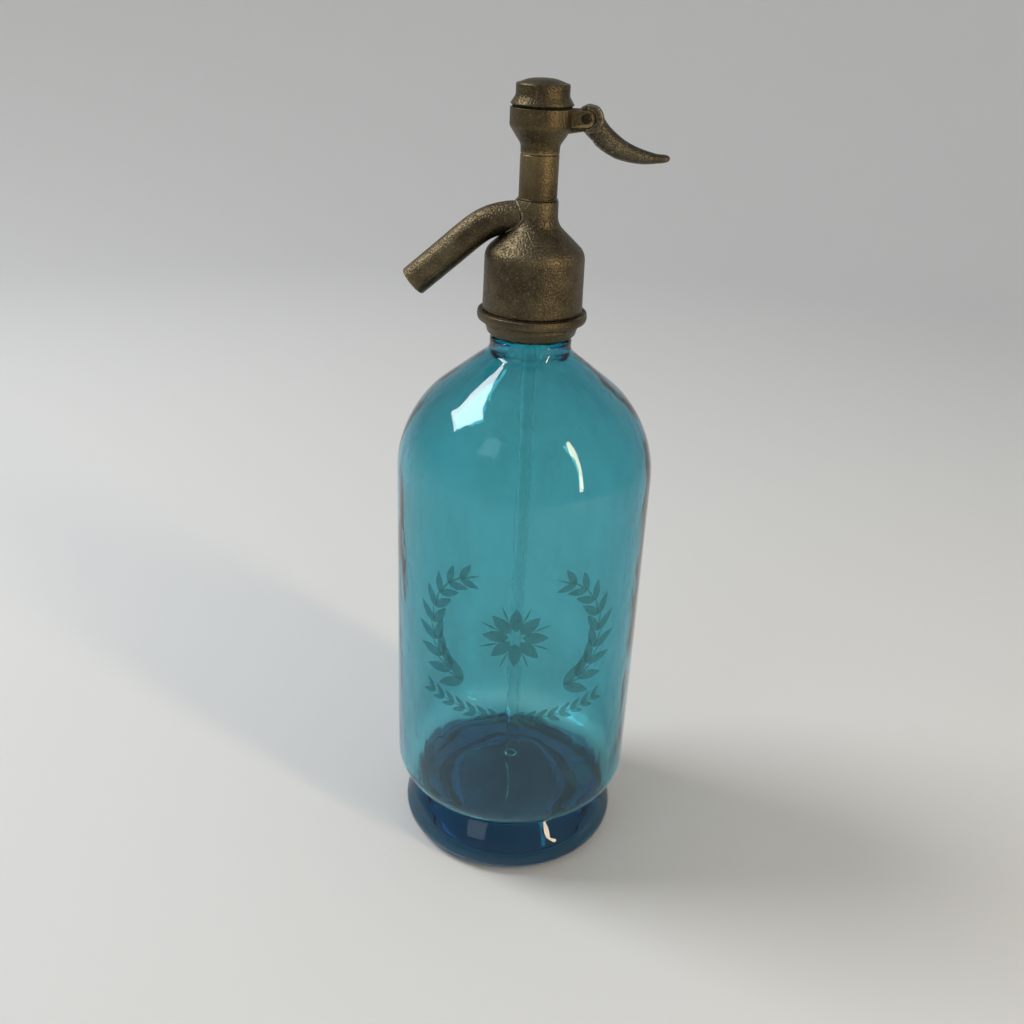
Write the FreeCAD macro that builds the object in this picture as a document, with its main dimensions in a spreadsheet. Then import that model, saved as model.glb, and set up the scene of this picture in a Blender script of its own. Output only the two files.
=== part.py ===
import FreeCAD, Part
import Sketcher
import math
import os

# Soda siphon: a blown glass bottle on a rolled foot, closed by a cast metal head
# with a bent spout and a lever that lifts the valve. Millimetres, +Z up, the
# origin is the middle of the ring that the foot rests on. The spout points to
# -X and the lever to +X.

Vector = FreeCAD.Vector
X_DIRECTION = Vector(1, 0, 0)
Y_DIRECTION = Vector(0, 1, 0)
Z_DIRECTION = Vector(0, 0, 1)
FULL_TURN = 360.0
HALF_TURN = 180.0

# Driving dimensions, each with what it sizes
DRIVING = [
    ("foot_radius", 47.6, "widest part of the rolled foot"),
    ("foot_bulge_height", 5.0, "height of the widest part of the foot"),
    ("foot_rest_radius", 31.5, "inner radius of the ground ring that stands on the table"),
    ("foot_rest_width", 10.0, "width of the ground ring"),
    ("foot_lean", 4.2, "how far the foot leans in above its widest part"),
    ("foot_rise", 8.2, "from its widest part to where it turns in"),
    ("waist_depth", 13.2, "crease between foot and body, in from the body's side"),
    ("waist_rise", 6.4, "from the foot's turn to the crease"),
    ("kick_height", 12.0, "hollow under the bottle"),
    ("kick_slope", 8.5, "slope of that hollow, measured across"),
    ("body_radius", 50.0, "outside radius of the bottle"),
    ("body_turn_rise", 11.2, "from the crease to where bottom and side would meet"),
    ("body_bottom_round", 13.0, "round between bottom and side"),
    ("body_length", 159.5, "from there to where the side would meet the shoulder"),
    ("glass_wall", 4.5, "thickness of the side"),
    ("floor_rise", 6.4, "inside floor above the crease"),
    ("floor_round", 12.0, "round at the edge of the inside floor"),
    ("shoulder_rise", 27.1, "height of the shoulder cone"),
    ("shoulder_round", 45.0, "round between side and shoulder cone"),
    ("neck_round", 5.0, "round between shoulder cone and neck"),
    ("neck_length", 5.0, "neck between the shoulder and the step under the collar"),
    ("neck_bore", 8.6, "radius of the hole in the neck"),
    ("neck_wall", 4.4, "glass of the neck under the bead"),
    ("neck_step", 2.3, "neck under the collar is this much wider"),
    ("groove_length", 10.4, "from that step to the bead"),
    ("bead_width", 1.2, "how far the bead stands out"),
    ("bead_height", 6.2, "height of the bead"),
    ("soft_round", 1.0, "small rounds of glass and metal"),
    ("tube_bore", 1.8, "hole in the dip tube"),
    ("tube_wall", 1.2, "wall of the dip tube"),
    ("tube_gap", 4.0, "from the dip tube's end to the inside floor"),
    ("gasket_thickness", 1.8, "rubber ring on the glass mouth"),
    ("ferrule_flange", 2.6, "flange of the tube ferrule"),
    ("ferrule_length", 9.0, "stem of the ferrule inside the neck"),
    ("ferrule_wall", 2.8, "wall of the ferrule stem"),
    ("seal_thickness", 1.6, "rubber ring under the head"),
    ("collar_clearance", 0.2, "collar over the bead"),
    ("fit_clearance", 0.1, "plain fit that stands for a thread or a press fit"),
    ("running_clearance", 0.08, "pin and rod running in their holes"),
    ("collar_lift", 0.8, "collar's lower edge above the glass step"),
    ("collar_edge", 0.9, "thickness of the collar's lower edge"),
    ("collar_swell", 2.0, "how much wider the collar is below its flange"),
    ("collar_waist_height", 4.0, "from the lower edge to that place"),
    ("flange_rise", 1.7, "from there to the flange"),
    ("flange_width", 3.7, "how far the rolled flange stands out"),
    ("flange_thickness", 3.7, "thickness of the rolled flange"),
    ("flange_round", 1.5, "round of the rolled flange"),
    ("split_ring_height", 6.0, "height of the split ring under the bead"),
    ("split_ring_width", 2.2, "wall of the split ring"),
    ("split_gap", 3.0, "gap at the split ring's ends in degrees"),
    ("thread_height", 7.8, "threaded part of the collar above its flange"),
    ("thread_wall", 1.3, "wall of the threaded part"),
    ("bell_wall", 1.65, "wall of the bell's skirt"),
    ("bell_skirt_taper", 0.3, "skirt is this much wider at its foot"),
    ("bell_skirt_height", 21.4, "from the flange to where skirt and roof would meet"),
    ("bell_roof_rise", 9.8, "height of the bell's sloping roof"),
    ("bell_neck_length", 8.1, "neck of the head above the roof"),
    ("bell_round", 6.0, "round of the bell's shoulder"),
    ("bell_sweep", 6.5, "sweep between roof and neck"),
    ("chamber_bore", 4.2, "radius of the valve chamber"),
    ("inlet_bore", 2.6, "hole from the tube to the valve seat"),
    ("seat_thickness", 4.0, "height of the valve seat ring"),
    ("seat_height", 11.0, "from the bell's inside roof to the seat's face"),
    ("socket_depth", 2.0, "column's foot in the head's neck"),
    ("socket_shoulder", 1.2, "step of the column's foot"),
    ("seam_step", 0.65, "head's neck is this much wider than the column"),
    ("column_wall", 1.45, "column outside its upper spigot"),
    ("column_length", 15.9, "length of the column between its two seams"),
    ("column_spigot", 4.0, "column's upper end inside the cup"),
    ("column_spigot_wall", 0.8, "wall of the column's upper end"),
    ("packing_step", 0.4, "ledge that the packing sits on"),
    ("packing_height", 3.5, "height of the packing"),
    ("gland_height", 6.0, "height of the packing gland"),
    ("gland_slot", 1.0, "screwdriver slot in the gland"),
    ("gland_gap", 1.1, "from the gland to the crosshead at rest"),
    ("cup_bore", 8.7, "inside radius of the lever cup"),
    ("cup_wall", 2.3, "wall of the cup at its mouth"),
    ("cup_height", 14.4, "height of the lever cup"),
    ("cup_flare_start", 2.4, "from the seam to where the cup flares"),
    ("cup_flare_rise", 6.0, "height of the flare"),
    ("cup_foot_round", 4.0, "round at the foot of the flare"),
    ("cup_round", 3.0, "round at the top of the flare"),
    ("throat_step", 0.5, "step over the column's spigot"),
    ("slot_width", 4.4, "slot in the cup for the lever"),
    ("slot_clearance", 0.9, "slot's floor below the lever's finger"),
    ("trench_depth", 1.2, "slot's floor below the cup's inside floor"),
    ("cheek_thickness", 1.8, "each of the two cheeks that hold the pin"),
    ("cheek_round", 2.8, "rounded end of the cheeks"),
    ("pin_reach", 15.2, "from the axis to the lever's pin"),
    ("pin_radius", 1.1, "radius of the pin"),
    ("pin_head_rim", 0.6, "how far the pin's heads stand out round it"),
    ("pin_head", 0.6, "thickness of the pin's head"),
    ("washer_thickness", 0.9, "rubber ring between cup and cap"),
    ("washer_inset", 0.7, "how far that ring lies back from the rim"),
    ("cap_rim_inset", 0.1, "cap's foot lies back from the cup's rim"),
    ("cap_rim_height", 0.5, "height of the cap's foot"),
    ("cap_flare_width", 1.6, "how far the cap's foot flares out"),
    ("cap_flare", 2.6, "height at which the cap's flare meets its side"),
    ("cap_flare_round", 2.5, "hollow of the cap's flare"),
    ("cap_side_height", 6.4, "top of the cap's side"),
    ("cap_edge_round", 0.5, "round at the cap's top edge"),
    ("dome_rise", 2.2, "height of the cap's dome"),
    ("cap_roof", 0.9, "inside roof of the cap below the top of its side"),
    ("cap_spigot", 4.1, "threaded part of the cap inside the cup"),
    ("cap_bore_gap", 1.7, "cap's bore clear of the crosshead"),
    ("rod_radius", 1.9, "radius of the valve rod"),
    ("crosshead_floor", 3.4, "crosshead below its window"),
    ("crosshead_roof", 2.8, "crosshead above its window"),
    ("window_below", 0.9, "window clear of the nose below"),
    ("window_above", 0.3, "window clear of the nose above"),
    ("seat_washer", 0.8, "washer under the spring"),
    ("spring_radius", 4.3, "mean radius of the spring"),
    ("spring_wire", 0.45, "radius of the spring's wire"),
    ("spring_turns", 4.5, "turns of the spring"),
    ("valve_gap", 0.1, "rubber valve above its seat at rest"),
    ("valve_inset", 0.2, "rubber valve narrower than its brass foot"),
    ("valve_thickness", 2.0, "thickness of the rubber valve"),
    ("valve_foot_height", 4.0, "brass foot that carries the rubber"),
    ("water_gap", 0.8, "way for the water round the brass foot"),
    ("rod_screw_depth", 2.0, "rod inside the brass foot"),
    ("screw_radius", 0.9, "shank of the screw under the valve"),
    ("screw_head_rim", 0.5, "how far that screw's head stands out"),
    ("screw_head", 0.8, "thickness of its head"),
    ("screw_engagement", 1.6, "screw inside the brass foot"),
    ("orifice_gap", 0.4, "hole in the seat clear of the screw's head"),
    ("spout_bore", 3.6, "hole in the spout"),
    ("spout_wall", 2.0, "wall of the spout"),
    ("spout_below_seam", 6.3, "spout's root below the lower seam"),
    ("spout_root", 6.1, "from the axis to where the bend begins"),
    ("spout_bend", 25.6, "bend radius of the spout"),
    ("spout_angle", 41.3, "how far the spout turns down, in degrees"),
    ("spout_length", 28.2, "straight end of the spout"),
    ("lever_overhang", 0.3, "knuckle wider than the cheeks on each side"),
    ("lever_tip_width", 5.0, "width of the lever near its tip"),
    ("knuckle_radius", 4.4, "round of the lever's knuckle"),
    ("knuckle_shift", 1.1, "knuckle's middle beyond the pin"),
    ("tongue_clearance", 0.3, "lever clear of the cheeks on each side"),
    ("nose_radius", 1.5, "nose of the lever inside the crosshead"),
    ("nose_drop", 4.0, "nose below the pin"),
    ("finger_half_height", 1.1, "half the height of the finger behind the nose"),
    ("horn_start_angle", 58.0, "slope of the lever where it leaves the knuckle"),
    ("horn_middle_angle", 23.0, "slope of the lever at its middle"),
    ("horn_tip_angle", 4.0, "rise of the lever at its tip"),
    ("horn_inner_bend", 24.0, "bend radius near the knuckle"),
    ("horn_outer_bend", 34.0, "bend radius near the tip"),
    ("horn_start_height", 8.2, "thickness at the knuckle"),
    ("horn_middle_height", 5.2, "thickness at the middle"),
    ("horn_tip_height", 3.4, "thickness near the tip"),
    ("horn_tip_round", 2.6, "length of the rounded tip"),
]


class Size:
    """A length that keeps both its number and the sheet expression behind it."""

    def __init__(self, number, text):
        self.number = float(number)
        self.text = text

    def __add__(self, other):
        other = as_size(other)
        return Size(self.number + other.number, "(%s + %s)" % (self.text, other.text))

    def __sub__(self, other):
        other = as_size(other)
        return Size(self.number - other.number, "(%s - %s)" % (self.text, other.text))

    def __mul__(self, other):
        other = as_size(other)
        return Size(self.number * other.number, "(%s * %s)" % (self.text, other.text))

    def __truediv__(self, other):
        other = as_size(other)
        return Size(self.number / other.number, "(%s / %s)" % (self.text, other.text))


def as_size(value):
    """Turn a plain number into a Size."""
    if isinstance(value, Size):
        return value
    return Size(value, "%.6f" % value)


class Sheet:
    """Named sizes, one for each alias of the spreadsheet."""


document = FreeCAD.newDocument("Siphon")
spreadsheet = document.addObject("Spreadsheet::Sheet", "Sizes")
size = Sheet()
for row, (alias, number, note) in enumerate(DRIVING, start=1):
    spreadsheet.set("A%d" % row, alias)
    spreadsheet.set("B%d" % row, str(number))
    spreadsheet.set("C%d" % row, note)
    spreadsheet.setAlias("B%d" % row, alias)
    setattr(size, alias, Size(number, "Sizes.%s" % alias))
document.recompute()
ZERO = as_size(0)

# Shapes that stay alike at any size
CONE_WALL = 1.27
COLLAR_SWELL_SHARE = 0.65
COLLAR_RISE_SHARE = 0.35
DOME_SHARE = 0.82

# Levels and radii that several pieces share, from the table up
size.foot_top_radius = size.foot_radius - size.foot_lean
size.foot_top = size.foot_bulge_height + size.foot_rise
size.waist_radius = size.body_radius - size.waist_depth
size.waist = size.foot_top + size.waist_rise
size.body_turn = size.waist + size.body_turn_rise
size.floor = size.waist + size.floor_rise
size.shoulder = size.body_turn + size.body_length
size.neck_base = size.shoulder + size.shoulder_rise
size.neck_top = size.neck_base + size.neck_length
size.bead_foot = size.neck_top + size.groove_length
size.lip = size.bead_foot + size.bead_height
size.groove_radius = size.neck_bore + size.neck_wall
size.neck_radius = size.groove_radius + size.neck_step
size.bead_radius = size.groove_radius + size.bead_width
size.seal_radius = size.bead_radius - size.collar_clearance
size.tube_radius = size.tube_bore + size.tube_wall
size.ring_foot = size.bead_foot - size.split_ring_height
size.collar_foot = size.neck_top + size.collar_lift
size.collar_bore = size.bead_radius + size.collar_clearance
size.collar_edge_radius = size.collar_bore + size.collar_edge
size.ring_bore = size.groove_radius + size.fit_clearance
size.ring_outside = size.ring_bore + size.split_ring_width
size.collar_counterbore = size.ring_outside + size.fit_clearance
size.thread_radius = size.collar_counterbore + size.thread_wall
size.flange_radius = size.thread_radius + size.flange_width
size.flange_foot = size.collar_foot + size.collar_waist_height + size.flange_rise
size.flange_top = size.flange_foot + size.flange_thickness
size.thread_top = size.flange_top + size.thread_height
size.bell_bore = size.thread_radius + size.fit_clearance
size.bell_foot_radius = size.bell_bore + size.bell_wall
size.bell_radius = size.bell_foot_radius - size.bell_skirt_taper
size.bell_shoulder = size.flange_top + size.bell_skirt_height
size.bell_neck = size.bell_shoulder + size.bell_roof_rise
size.ferrule_foot = size.lip + size.gasket_thickness
size.ferrule_top = size.ferrule_foot + size.ferrule_flange
size.bell_ceiling = size.ferrule_top + size.seal_thickness
size.seat_face = size.bell_ceiling + size.seat_height
size.seat_foot = size.seat_face - size.seat_thickness
size.lower_seam = size.bell_neck + size.bell_neck_length
size.upper_seam = size.lower_seam + size.column_length
size.packing_bore = size.chamber_bore + size.packing_step
size.spigot_radius = size.packing_bore + size.column_spigot_wall
size.column_radius = size.spigot_radius + size.column_wall
size.bell_neck_radius = size.column_radius + size.seam_step
size.socket_radius = size.column_radius - size.socket_shoulder
size.spout_radius = size.spout_bore + size.spout_wall
size.spout_axis = size.lower_seam - size.spout_below_seam
size.cup_radius = size.cup_bore + size.cup_wall
size.cup_rim = size.upper_seam + size.cup_height
size.pin_level = size.cup_rim - size.cheek_round
size.nose_level = size.pin_level - size.nose_drop
size.slot_floor = size.nose_level - size.finger_half_height - size.slot_clearance
size.cup_floor = size.slot_floor + size.trench_depth
size.cheek_width = size.slot_width + size.cheek_thickness * 2
size.lever_width = size.cheek_width + size.lever_overhang * 2
size.tongue_width = size.slot_width - size.tongue_clearance * 2
size.cap_foot = size.cup_rim + size.washer_thickness
size.cap_rim_radius = size.cup_radius - size.cap_rim_inset
size.cap_radius = size.cap_rim_radius - size.cap_flare_width
size.cap_shoulder = size.cap_foot + size.cap_side_height
size.cap_ceiling = size.cap_shoulder - size.cap_roof
size.window_low = size.nose_level - size.nose_radius - size.window_below
size.window_high = size.nose_level + size.nose_radius + size.window_above
size.crosshead_low = size.window_low - size.crosshead_floor
size.crosshead_top = size.window_high + size.crosshead_roof
size.crosshead_radius = size.packing_bore - size.fit_clearance
size.packing_top = size.crosshead_low - size.gland_gap - size.gland_height
size.packing_foot = size.packing_top - size.packing_height
size.valve_face = size.seat_face + size.valve_gap
size.valve_top = size.valve_face + size.valve_thickness
size.valve_foot_top = size.valve_top + size.valve_foot_height
size.valve_foot_radius = size.chamber_bore - size.water_gap
size.rod_low = size.valve_foot_top - size.rod_screw_depth
size.screw_head_radius = size.screw_radius + size.screw_head_rim
size.seat_orifice = size.screw_head_radius + size.orifice_gap

PARTS = []


def new_body(label):
    """Start a piece; its label is also its file name."""
    body = document.addObject("PartDesign::Body", label)
    body.Label = label
    PARTS.append(body)
    return body


def origin_plane(body, role):
    """One of the body's own three planes."""
    for feature in body.Origin.OriginFeatures:
        if feature.Role == role:
            return feature
    raise ValueError("no plane " + role)


def new_sketch(body, name, role="XZ_Plane"):
    """A sketch that lies on one of the body's own planes."""
    sketch = body.newObject("Sketcher::SketchObject", name)
    sketch.AttachmentSupport = (origin_plane(body, role), [""])
    sketch.MapMode = "FlatFace"
    return sketch


def bind(thing, path, value):
    """Tie a property of a feature to the sheet."""
    thing.setExpression(path, value.text)


def place_point(sketch, geometry, end, across, up):
    """Hold one point of a sketch at its distances from the origin."""
    if across.number == 0:
        sketch.addConstraint(Sketcher.Constraint("PointOnObject", geometry, end, -2))
    else:
        index = sketch.addConstraint(
            Sketcher.Constraint("DistanceX", -1, 1, geometry, end, across.number))
        sketch.setExpression("Constraints[%d]" % index, across.text)
    if up.number == 0:
        sketch.addConstraint(Sketcher.Constraint("PointOnObject", geometry, end, -1))
    else:
        index = sketch.addConstraint(
            Sketcher.Constraint("DistanceY", -1, 1, geometry, end, up.number))
        sketch.setExpression("Constraints[%d]" % index, up.text)


class Corner:
    """One corner of an outline, with the cut that its round makes on both sides."""

    ROOM = 0.49

    def __init__(self, before, here, after):
        self.across = here[0]
        self.up = here[1]
        self.point = Vector(self.across.number, self.up.number, 0)
        self.entry = self.point
        self.leave = self.point
        self.round = here[2] if len(here) > 2 else None
        if self.round is None:
            return
        back = Vector(before[0].number, before[1].number, 0) - self.point
        ahead = Vector(after[0].number, after[1].number, 0) - self.point
        half = back.getAngle(ahead) / 2
        room = self.ROOM * min(back.Length, ahead.Length) * math.tan(half)
        if self.round.number > room:
            self.round = as_size(room)
        cut = self.round.number / math.tan(half)
        back.normalize()
        ahead.normalize()
        self.entry = self.point + back * cut
        self.leave = self.point + ahead * cut
        middle = back + ahead
        middle.normalize()
        self.centre = self.point + middle * (self.round.number / math.sin(half))
        self.turns_left = back.cross(ahead).z < 0

    def arc(self):
        """The round itself, which always runs anticlockwise."""
        first, last = self.entry, self.leave
        if not self.turns_left:
            first, last = last, first
        start = (first - self.centre).getAngle(X_DIRECTION)
        if first.y < self.centre.y:
            start = -start
        end = (last - self.centre).getAngle(X_DIRECTION)
        if last.y < self.centre.y:
            end = -end
        circle = Part.Circle(self.centre, Z_DIRECTION, self.round.number)
        return Part.ArcOfCircle(circle, start, end)


def draw_outline(sketch, outline):
    """Draw a closed outline of lines with rounded corners, all sizes bound."""
    count = len(outline)
    corners = []
    for index in range(count):
        corners.append(Corner(outline[index - 1], outline[index], outline[(index + 1) % count]))
    lines = []
    for index in range(count):
        following = corners[(index + 1) % count]
        line = Part.LineSegment(corners[index].leave, following.entry)
        lines.append(sketch.addGeometry(line, False))
    for index in range(count):
        corner = corners[index]
        before, after = lines[index - 1], lines[index]
        if corner.round is None:
            sketch.addConstraint(Sketcher.Constraint("Coincident", before, 2, after, 1))
            place_point(sketch, after, 1, corner.across, corner.up)
            continue
        mark = sketch.addGeometry(Part.Point(corner.point), True)
        arc = sketch.addGeometry(corner.arc(), False)
        first, last = (1, 2) if corner.turns_left else (2, 1)
        place_point(sketch, mark, 1, corner.across, corner.up)
        sketch.addConstraint(Sketcher.Constraint("PointOnObject", mark, 1, before))
        sketch.addConstraint(Sketcher.Constraint("PointOnObject", mark, 1, after))
        sketch.addConstraint(Sketcher.Constraint("Tangent", before, 2, arc, first))
        sketch.addConstraint(Sketcher.Constraint("Tangent", arc, last, after, 1))
        index_round = sketch.addConstraint(
            Sketcher.Constraint("Radius", arc, corner.round.number))
        sketch.setExpression("Constraints[%d]" % index_round, corner.round.text)


def draw_circle(sketch, across, up, radius):
    """Draw a circle with its middle and radius bound."""
    middle = Vector(across.number, up.number, 0)
    circle = sketch.addGeometry(Part.Circle(middle, Z_DIRECTION, radius.number), False)
    place_point(sketch, circle, 3, across, up)
    index = sketch.addConstraint(Sketcher.Constraint("Radius", circle, radius.number))
    sketch.setExpression("Constraints[%d]" % index, radius.text)


def rectangle(low_across, low_up, high_across, high_up):
    """Four plain corners, anticlockwise."""
    return [(low_across, low_up), (high_across, low_up),
            (high_across, high_up), (low_across, high_up)]


def turn_outline(body, outline, angle=FULL_TURN):
    """Turn an outline round the upright axis."""
    sketch = new_sketch(body, body.Label + "_outline")
    draw_outline(sketch, outline)
    turned = body.newObject("PartDesign::Revolution", body.Label + "_turned")
    turned.Profile = sketch
    turned.ReferenceAxis = (sketch, ["V_Axis"])
    turned.Angle = angle
    document.recompute()
    return turned


def turned_piece(label, outline, angle=FULL_TURN):
    """A piece that is one turned outline."""
    body = new_body(label)
    turn_outline(body, outline, angle)
    return body


def ring_piece(label, bore, outside, low, high):
    """A plain flat ring."""
    return turned_piece(label, rectangle(bore, low, outside, high))


def must_shrink(body, before, name):
    """A cut that removes nothing points the wrong way."""
    document.recompute()
    if not body.Shape.Volume < before - 1e-3:
        raise RuntimeError(name + " cuts nothing")


def cut_across(body, name, draw, width=None):
    """Cut a drawn shape through the body, evenly to both sides of the XZ plane."""
    before = body.Shape.Volume
    sketch = new_sketch(body, name + "_sketch")
    draw(sketch)
    pocket = body.newObject("PartDesign::Pocket", name)
    pocket.Profile = sketch
    pocket.Midplane = True
    if width is None:
        pocket.Type = "ThroughAll"
    else:
        pocket.Length = width.number
        bind(pocket, "Length", width)
    must_shrink(body, before, name)
    return pocket


def make_bottle():
    """Blown glass bottle with its foot, bead and mouth, all one piece of glass."""
    slope = size.shoulder_rise / (size.body_radius - size.neck_radius)
    inside = size.body_radius - size.glass_wall
    cone_drop = size.glass_wall * CONE_WALL
    inner_shoulder = size.shoulder + slope * size.glass_wall - cone_drop
    inner_neck = size.neck_base + slope * (size.neck_radius - size.neck_bore) - cone_drop
    rest_outside = size.foot_rest_radius + size.foot_rest_width
    outline = [
        (ZERO, size.kick_height),
        (size.foot_rest_radius - size.kick_slope, size.kick_height, size.kick_height / 2),
        (size.foot_rest_radius, ZERO, size.soft_round),
        (rest_outside, ZERO, size.soft_round * 4),
        (size.foot_radius, size.foot_bulge_height, size.soft_round * 6),
        (size.foot_top_radius, size.foot_top, size.soft_round * 8),
        (size.waist_radius, size.waist, size.soft_round),
        (size.body_radius, size.body_turn, size.body_bottom_round),
        (size.body_radius, size.shoulder, size.shoulder_round),
        (size.neck_radius, size.neck_base, size.neck_round),
        (size.neck_radius, size.neck_top, size.soft_round),
        (size.groove_radius, size.neck_top),
        (size.groove_radius, size.bead_foot),
        (size.bead_radius, size.bead_foot, size.soft_round / 2),
        (size.bead_radius, size.lip, size.soft_round * 1.5),
        (size.neck_bore, size.lip, size.soft_round / 2),
        (size.neck_bore, inner_neck, size.neck_round),
        (inside, inner_shoulder, size.shoulder_round - size.glass_wall),
        (inside, size.floor, size.floor_round),
        (ZERO, size.floor),
    ]
    turned_piece("glass_bottle", outline)


def make_tube():
    """Glass dip tube, the ferrule that hangs it in the mouth, and their rubber."""
    tube_low = size.floor + size.tube_gap
    turned_piece("dip_tube", rectangle(size.tube_bore, tube_low, size.tube_radius, size.bell_ceiling))
    stem_low = size.lip - size.ferrule_length
    stem_outside = size.neck_bore - size.fit_clearance * 4
    stem_bore = stem_outside - size.ferrule_wall
    tube_hole = size.tube_radius + size.fit_clearance
    outline = [
        (stem_bore, stem_low),
        (stem_outside, stem_low, size.soft_round / 2),
        (stem_outside, size.ferrule_foot),
        (size.seal_radius, size.ferrule_foot),
        (size.seal_radius, size.ferrule_top),
        (tube_hole, size.ferrule_top),
        (tube_hole, size.ferrule_foot),
        (stem_bore, size.ferrule_foot),
    ]
    turned_piece("tube_ferrule", outline)
    ring_piece("tube_grommet", tube_hole, stem_bore - size.fit_clearance, stem_low,
               size.ferrule_foot)
    ring_piece("neck_gasket", size.neck_bore, size.seal_radius, size.lip,
               size.ferrule_foot)
    ring_piece("ferrule_gasket", tube_hole, size.seal_radius, size.ferrule_top,
               size.bell_ceiling)


def make_collar():
    """Threaded collar with its rolled flange, and the split ring that holds it up."""
    outline = [
        (size.collar_bore, size.collar_foot),
        (size.collar_edge_radius, size.collar_foot),
        (size.collar_edge_radius + size.collar_swell * COLLAR_SWELL_SHARE,
         size.collar_foot + size.collar_waist_height * COLLAR_RISE_SHARE),
        (size.collar_edge_radius + size.collar_swell,
         size.collar_foot + size.collar_waist_height, size.soft_round),
        (size.flange_radius, size.flange_foot, size.flange_round),
        (size.flange_radius, size.flange_top, size.flange_round),
        (size.thread_radius, size.flange_top),
        (size.thread_radius, size.thread_top),
        (size.collar_counterbore, size.thread_top),
        (size.collar_counterbore, size.ring_foot),
        (size.collar_bore, size.ring_foot),
    ]
    turned_piece("collar_ring", outline)
    for label, start in (("split_ring_front", 0.0), ("split_ring_back", HALF_TURN)):
        body = new_body(label)
        section = rectangle(size.ring_bore, size.ring_foot, size.ring_outside, size.bead_foot)
        turned = turn_outline(body, section)
        bind(turned, "Angle", as_size(HALF_TURN) - size.split_gap)
        body.Placement = FreeCAD.Placement(Vector(), FreeCAD.Rotation(Z_DIRECTION, start))


def bell_outside():
    """The outside of the bell and the neck above it, from the skirt's foot up."""
    return [
        (size.bell_foot_radius, size.flange_top),
        (size.bell_radius, size.bell_shoulder, size.bell_round),
        (size.bell_neck_radius, size.bell_neck, size.bell_sweep),
        (size.bell_neck_radius, size.lower_seam),
    ]


def make_bell():
    """Cast bell that screws on the collar, with the valve chamber in its neck."""
    body = new_body("head_bell")
    outline = bell_outside() + [
        (size.socket_radius, size.lower_seam),
        (size.socket_radius, size.lower_seam - size.socket_depth),
        (size.chamber_bore, size.lower_seam - size.socket_depth),
        (size.chamber_bore, size.seat_foot),
        (size.inlet_bore, size.seat_foot),
        (size.inlet_bore, size.bell_ceiling),
        (size.bell_bore, size.bell_ceiling),
        (size.bell_bore, size.flange_top),
    ]
    turn_outline(body, outline)
    before = body.Shape.Volume
    sketch = new_sketch(body, "side_port_sketch", "YZ_Plane")
    draw_circle(sketch, ZERO, size.spout_axis, size.spout_bore)
    port = body.newObject("PartDesign::Pocket", "side_port")
    port.Profile = sketch
    port.Length = size.bell_neck_radius.number * 2
    bind(port, "Length", size.bell_neck_radius * 2)
    document.recompute()
    if not port_is_on_spout_side(body):
        port.Reversed = True
    must_shrink(body, before, "side_port")
    seat = [
        (size.seat_orifice, size.seat_foot),
        (size.chamber_bore - size.fit_clearance / 2, size.seat_foot),
        (size.chamber_bore - size.fit_clearance / 2, size.seat_face - size.soft_round),
        (size.seat_orifice + size.soft_round, size.seat_face),
        (size.seat_orifice, size.seat_face),
    ]
    turned_piece("valve_seat", seat)


def port_is_on_spout_side(body):
    """True when the neck's wall is open where the spout meets it."""
    middle = (size.chamber_bore.number + size.bell_neck_radius.number) / 2
    probe = Vector(-middle, 0, size.spout_axis.number)
    return not body.Shape.isInside(probe, 1e-6, True)


def make_column():
    """Column tube between the two seams, with the packing and its gland inside."""
    foot_radius = size.socket_radius - size.fit_clearance / 2
    outline = [
        (size.chamber_bore, size.lower_seam - size.socket_depth),
        (foot_radius, size.lower_seam - size.socket_depth),
        (foot_radius, size.lower_seam),
        (size.column_radius, size.lower_seam),
        (size.column_radius, size.upper_seam),
        (size.spigot_radius, size.upper_seam),
        (size.spigot_radius, size.upper_seam + size.column_spigot),
        (size.packing_bore, size.upper_seam + size.column_spigot),
        (size.packing_bore, size.packing_foot),
        (size.chamber_bore, size.packing_foot),
    ]
    turned_piece("column_tube", outline)
    rod_hole = size.rod_radius + size.running_clearance
    outside = size.packing_bore - size.fit_clearance / 2
    ring_piece("piston_packing", rod_hole, outside, size.packing_foot, size.packing_top)
    gland_top = size.packing_top + size.gland_height
    gland = ring_piece("packing_gland", rod_hole, outside, size.packing_top, gland_top)

    def slot(sketch):
        draw_outline(sketch, rectangle(ZERO - size.packing_bore, gland_top - size.gland_slot,
                                       size.packing_bore, gland_top + size.gland_slot))

    cut_across(gland, "gland_slot", slot, size.gland_slot)


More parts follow.
